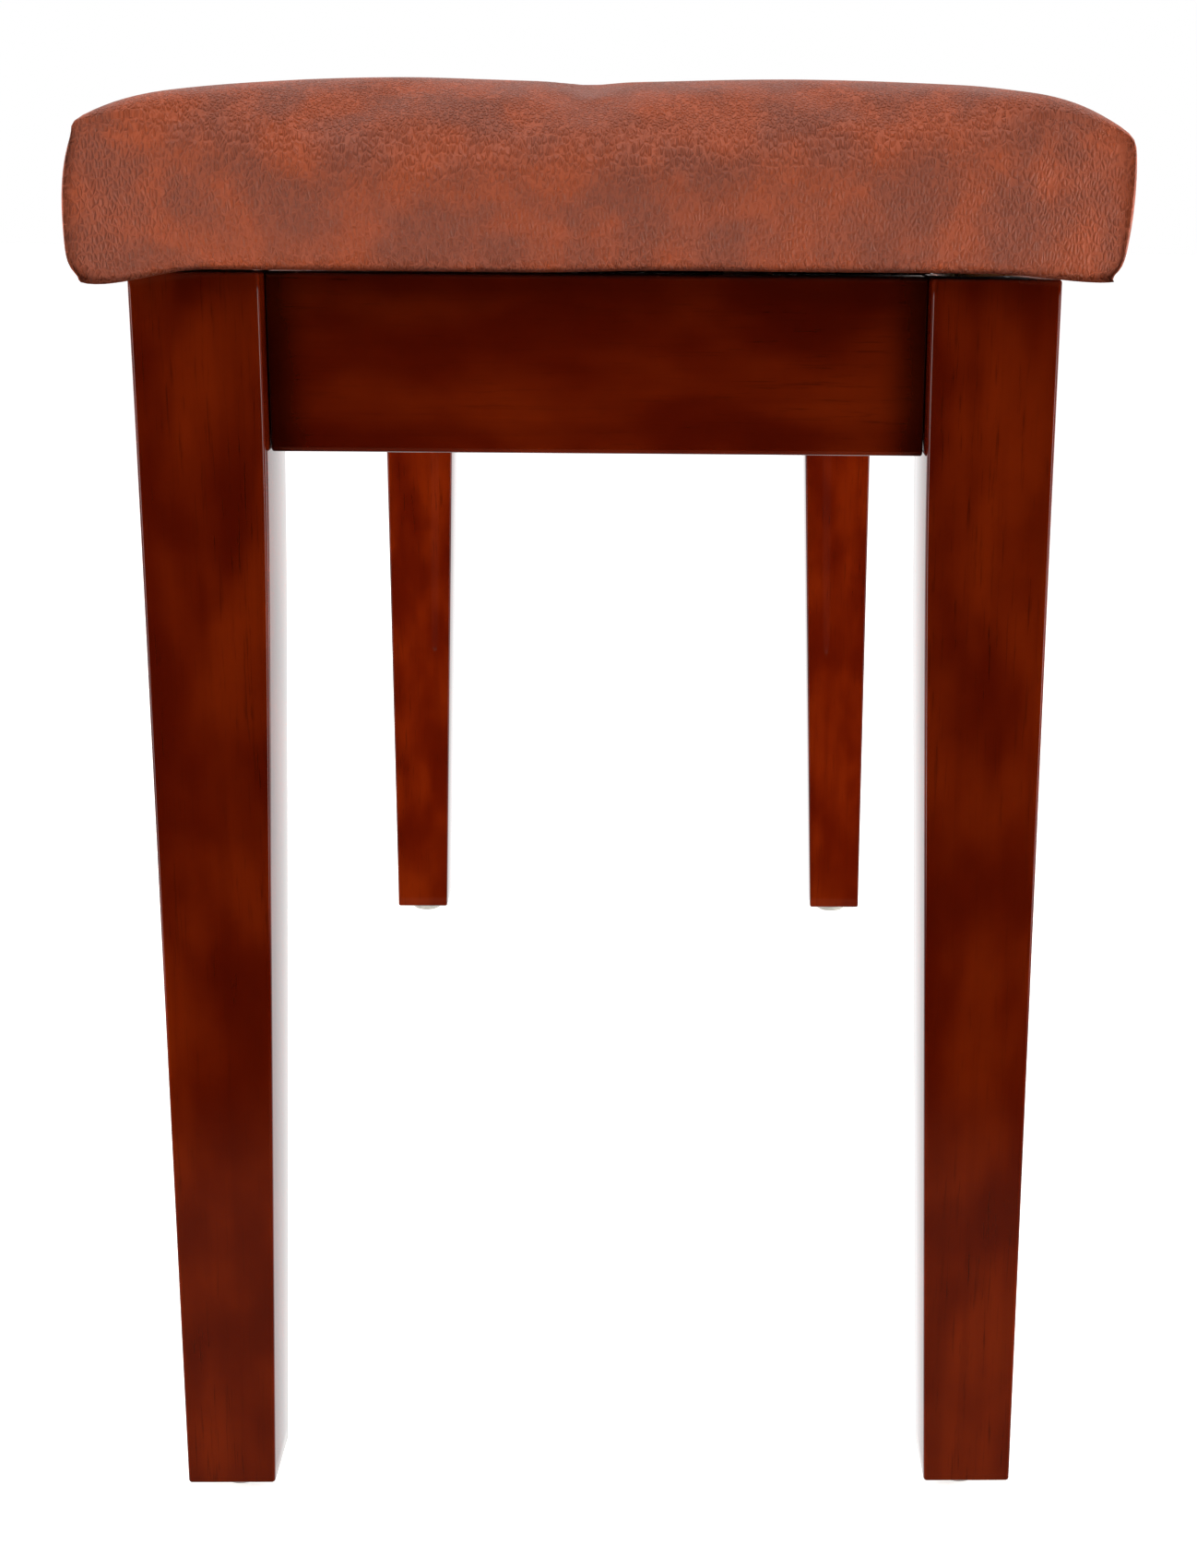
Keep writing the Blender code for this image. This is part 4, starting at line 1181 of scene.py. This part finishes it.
def fitSize(mesh, half, foot, values):
    # bring the puffed skin back to the cushion's own size, which is less near its ends
    spots = [v.co for v in mesh.vertices]
    reach = max(abs(p.x) for p in spots)
    middle = [p for p in spots if abs(p.x) < 0.8 * reach]
    ends = [p for p in spots if abs(p.x) > 0.95 * reach]
    wide = {side: (half[1] + 0.001) / max(p.y * side for p in middle) for side in (-1, 1)}
    wideEnd = {side: values["endHalf"][side > 0] / max(p.y * side for p in ends) for side in (-1, 1)}
    tall = (values["crest"] + values["rise"] - foot) / (max(p.z for p in middle) - foot)
    shoulders = [p for p in spots if 0.90 * reach < abs(p.x) < 0.96 * reach]
    tallEnd = (values["crest"] + values["lean"] - foot) / (max(p.z for p in shoulders) - foot)
    for vert in mesh.vertices:
        near = smoothStep(abs(vert.co.x) / reach, 0.78, 0.92)
        side = 1 if vert.co.y > 0 else -1
        vert.co.x *= half[0] / reach
        vert.co.y *= wide[side] + (wideEnd[side] - wide[side]) * near
        if vert.co.z > foot:
            vert.co.z = foot + (vert.co.z - foot) * (tall + (tallEnd - tall) * near)


def unfoldGrain(mesh, index, counts):
    # lay the skin out flat over each edge; the side panels are stretched downwards
    nx, ny, nz = counts
    keys = {at: key for key, at in index.items()}
    layer = mesh.uv_layers.new(name="grainMap")
    for polygon in mesh.polygons:
        ijk = [keys[v] for v in polygon.vertices]
        side = None
        for axis, count in ((2, nz), (0, nx), (1, ny)):
            for limit in (0, count):
                if side is None and all(key[axis] == limit for key in ijk):
                    side = (axis, limit)
        for loop in polygon.loop_indices:
            co = mesh.vertices[mesh.loops[loop].vertex_index].co
            if side == (2, nz):
                # follow the roll at the ends
                m = max(0.0, abs(co.x) - 0.335)
                u, v = co.x + math.copysign(m * 0.10, co.x), co.y
            elif side[0] == 2:
                u, v = co.x, co.y + 2.0
            elif side[0] == 0:
                u, v = math.copysign(0.45 + (0.505 - co.z) * 0.46, co.x), co.y
            else:
                u, v = co.x, math.copysign(0.25 + (0.505 - co.z) * 0.50, co.y)
            layer.data[loop].uv = (u, v)


cushion = makeCushion(cushionValues)
print("cushion done:", len(cushion.data.polygons), "faces")


# tufting buttons

buttonValues = {
    "radius": 0.0108,
    "height": 0.0050,
    "sink": 0.0016,
    "pleats": 9,
}


def buttonPart(values):
    # covered button: a low dome whose skin gathers into pleats under its rim
    bm = bmesh.new()
    radius, height = values["radius"], values["height"]
    profile = [(0.0, -0.0035), (radius * 0.55, -0.0030), (radius * 0.86, -0.0014)]
    profile += [(radius * c, height * s) for c,
                s in arc(0.0, 0.0, 1.0, -4.0, 90.0, 12)[:-1]] + [(0.0, height)]
    lathe(bm, profile, 45)
    for vert in bm.verts:
        r = math.hypot(vert.co.x, vert.co.y)
        a = math.atan2(vert.co.y, vert.co.x)
        near = smoothStep(r, radius * 0.62,
                          radius) * (1 - smoothStep(vert.co.z, height * 0.15, height * 0.75))
        vert.co *= 1 + 0.035 * near * math.sin(a * values["pleats"])
    return addPiece("buttonPart", bm)


def skinHeight(cushionMesh, places):
    # lowest skin under each button
    heights = []
    for bx, by in places:
        near = [v.co.z for v in cushionMesh.vertices
                if v.co.z > 0.47 and math.hypot(v.co.x - bx, v.co.y - by) < 0.0085]
        heights.append(sum(near) / len(near))
    return heights


def makeButtons(values):
    part = buttonPart(values)
    places = buttonPlaces()
    heights = skinHeight(cushion.data, places)
    spots = [(x, y, z - values["sink"] + 0.001) for (x, y), z in zip(places, heights)]
    buttons = growCopies("tuftButtons", part, spots, [(0, 0, 1)] * len(spots), buttonSkin, "lid",
                         anyTurn, 11, 60.0)
    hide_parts(*sorted(n for n in nodes if n.startswith("tuft_button_")))
    spare(part)


makeButtons(buttonValues)
print("buttons done")


# lining under the lid, with its staples

liningValues = {
    "cell": 0.006,
    "sag": 0.0003,
    "stapleEvery": 0.038,
    "stapleInset": 0.0065,
    "stapleWidth": 0.0095,
    "wire": 0.0007,
}


def makeLining(values):
    low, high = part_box("underside_lining")
    nx = round((high.x - low.x) / values["cell"])
    ny = round((high.y - low.y) / values["cell"])

    def place(i, j, k):
        x = low.x + (high.x - low.x) * i / nx
        y = low.y + (high.y - low.y) * j / ny
        inside = min(smoothStep(min(i, nx - i), 0, 3), smoothStep(min(j, ny - j), 0, 3))
        wrinkle = noise.noise(Vector((x * 26, y * 26, 0))) + 0.5 * noise.noise(Vector((x * 70, y * 12, 3)))
        edge = 0.0006 * noise.noise(Vector((x * 40, y * 40, 8))) * (1 - inside)
        z = low.z + (high.z - low.z) * (0.35 + 0.65 * k) + values["sag"] * (0.5 + wrinkle) * inside
        return Vector((x + edge, y + edge, min(z, high.z)))

    bm = latticeBox((nx, ny, 1), place)[0]
    sheet = addPiece("undersideLining", bm, lining, 60.0)
    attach(sheet, "lid")
    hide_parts("underside_lining")

    # a staple is a bar with two short legs, lying across the edge of the lining
    wire, width = values["wire"], values["stapleWidth"]
    bm = bmesh.new()
    bmesh.ops.create_cube(bm, size=1.0)
    for vert in bm.verts:
        vert.co = Vector((vert.co.x * width, vert.co.y * wire * 1.4, wire * (0.5 if vert.co.z > 0 else 0.0)))
    for side in (-1, 1):
        cube = bmesh.ops.create_cube(bm, size=1.0)["verts"]
        for vert in cube:
            vert.co = Vector((side * (width - wire) / 2 + vert.co.x * wire, vert.co.y * wire * 1.4,
                              -0.003 if vert.co.z < 0 else wire * 0.3))
    part = addPiece("staplePart", bm)
    spots = []
    inset, every = values["stapleInset"], values["stapleEvery"]
    countX = round((high.x - low.x - 2 * inset) / every)
    countY = round((high.y - low.y - 2 * inset) / every)
    for n in range(countX + 1):
        x = low.x + inset + (high.x - low.x - 2 * inset) * n / countX
        spots += [(x, low.y + inset, low.z), (x, high.y - inset, low.z)]
    for n in range(1, countY):
        y = low.y + inset + (high.y - low.y - 2 * inset) * n / countY
        spots += [(low.x + inset, y, low.z), (high.x - inset, y, low.z)]
    growCopies("liningStaples", part, spots, [(0, 0, -1)] * len(spots), zincSteel, "lid",
               0.6, 21)
    spare(part)


makeLining(liningValues)
print("lining done")
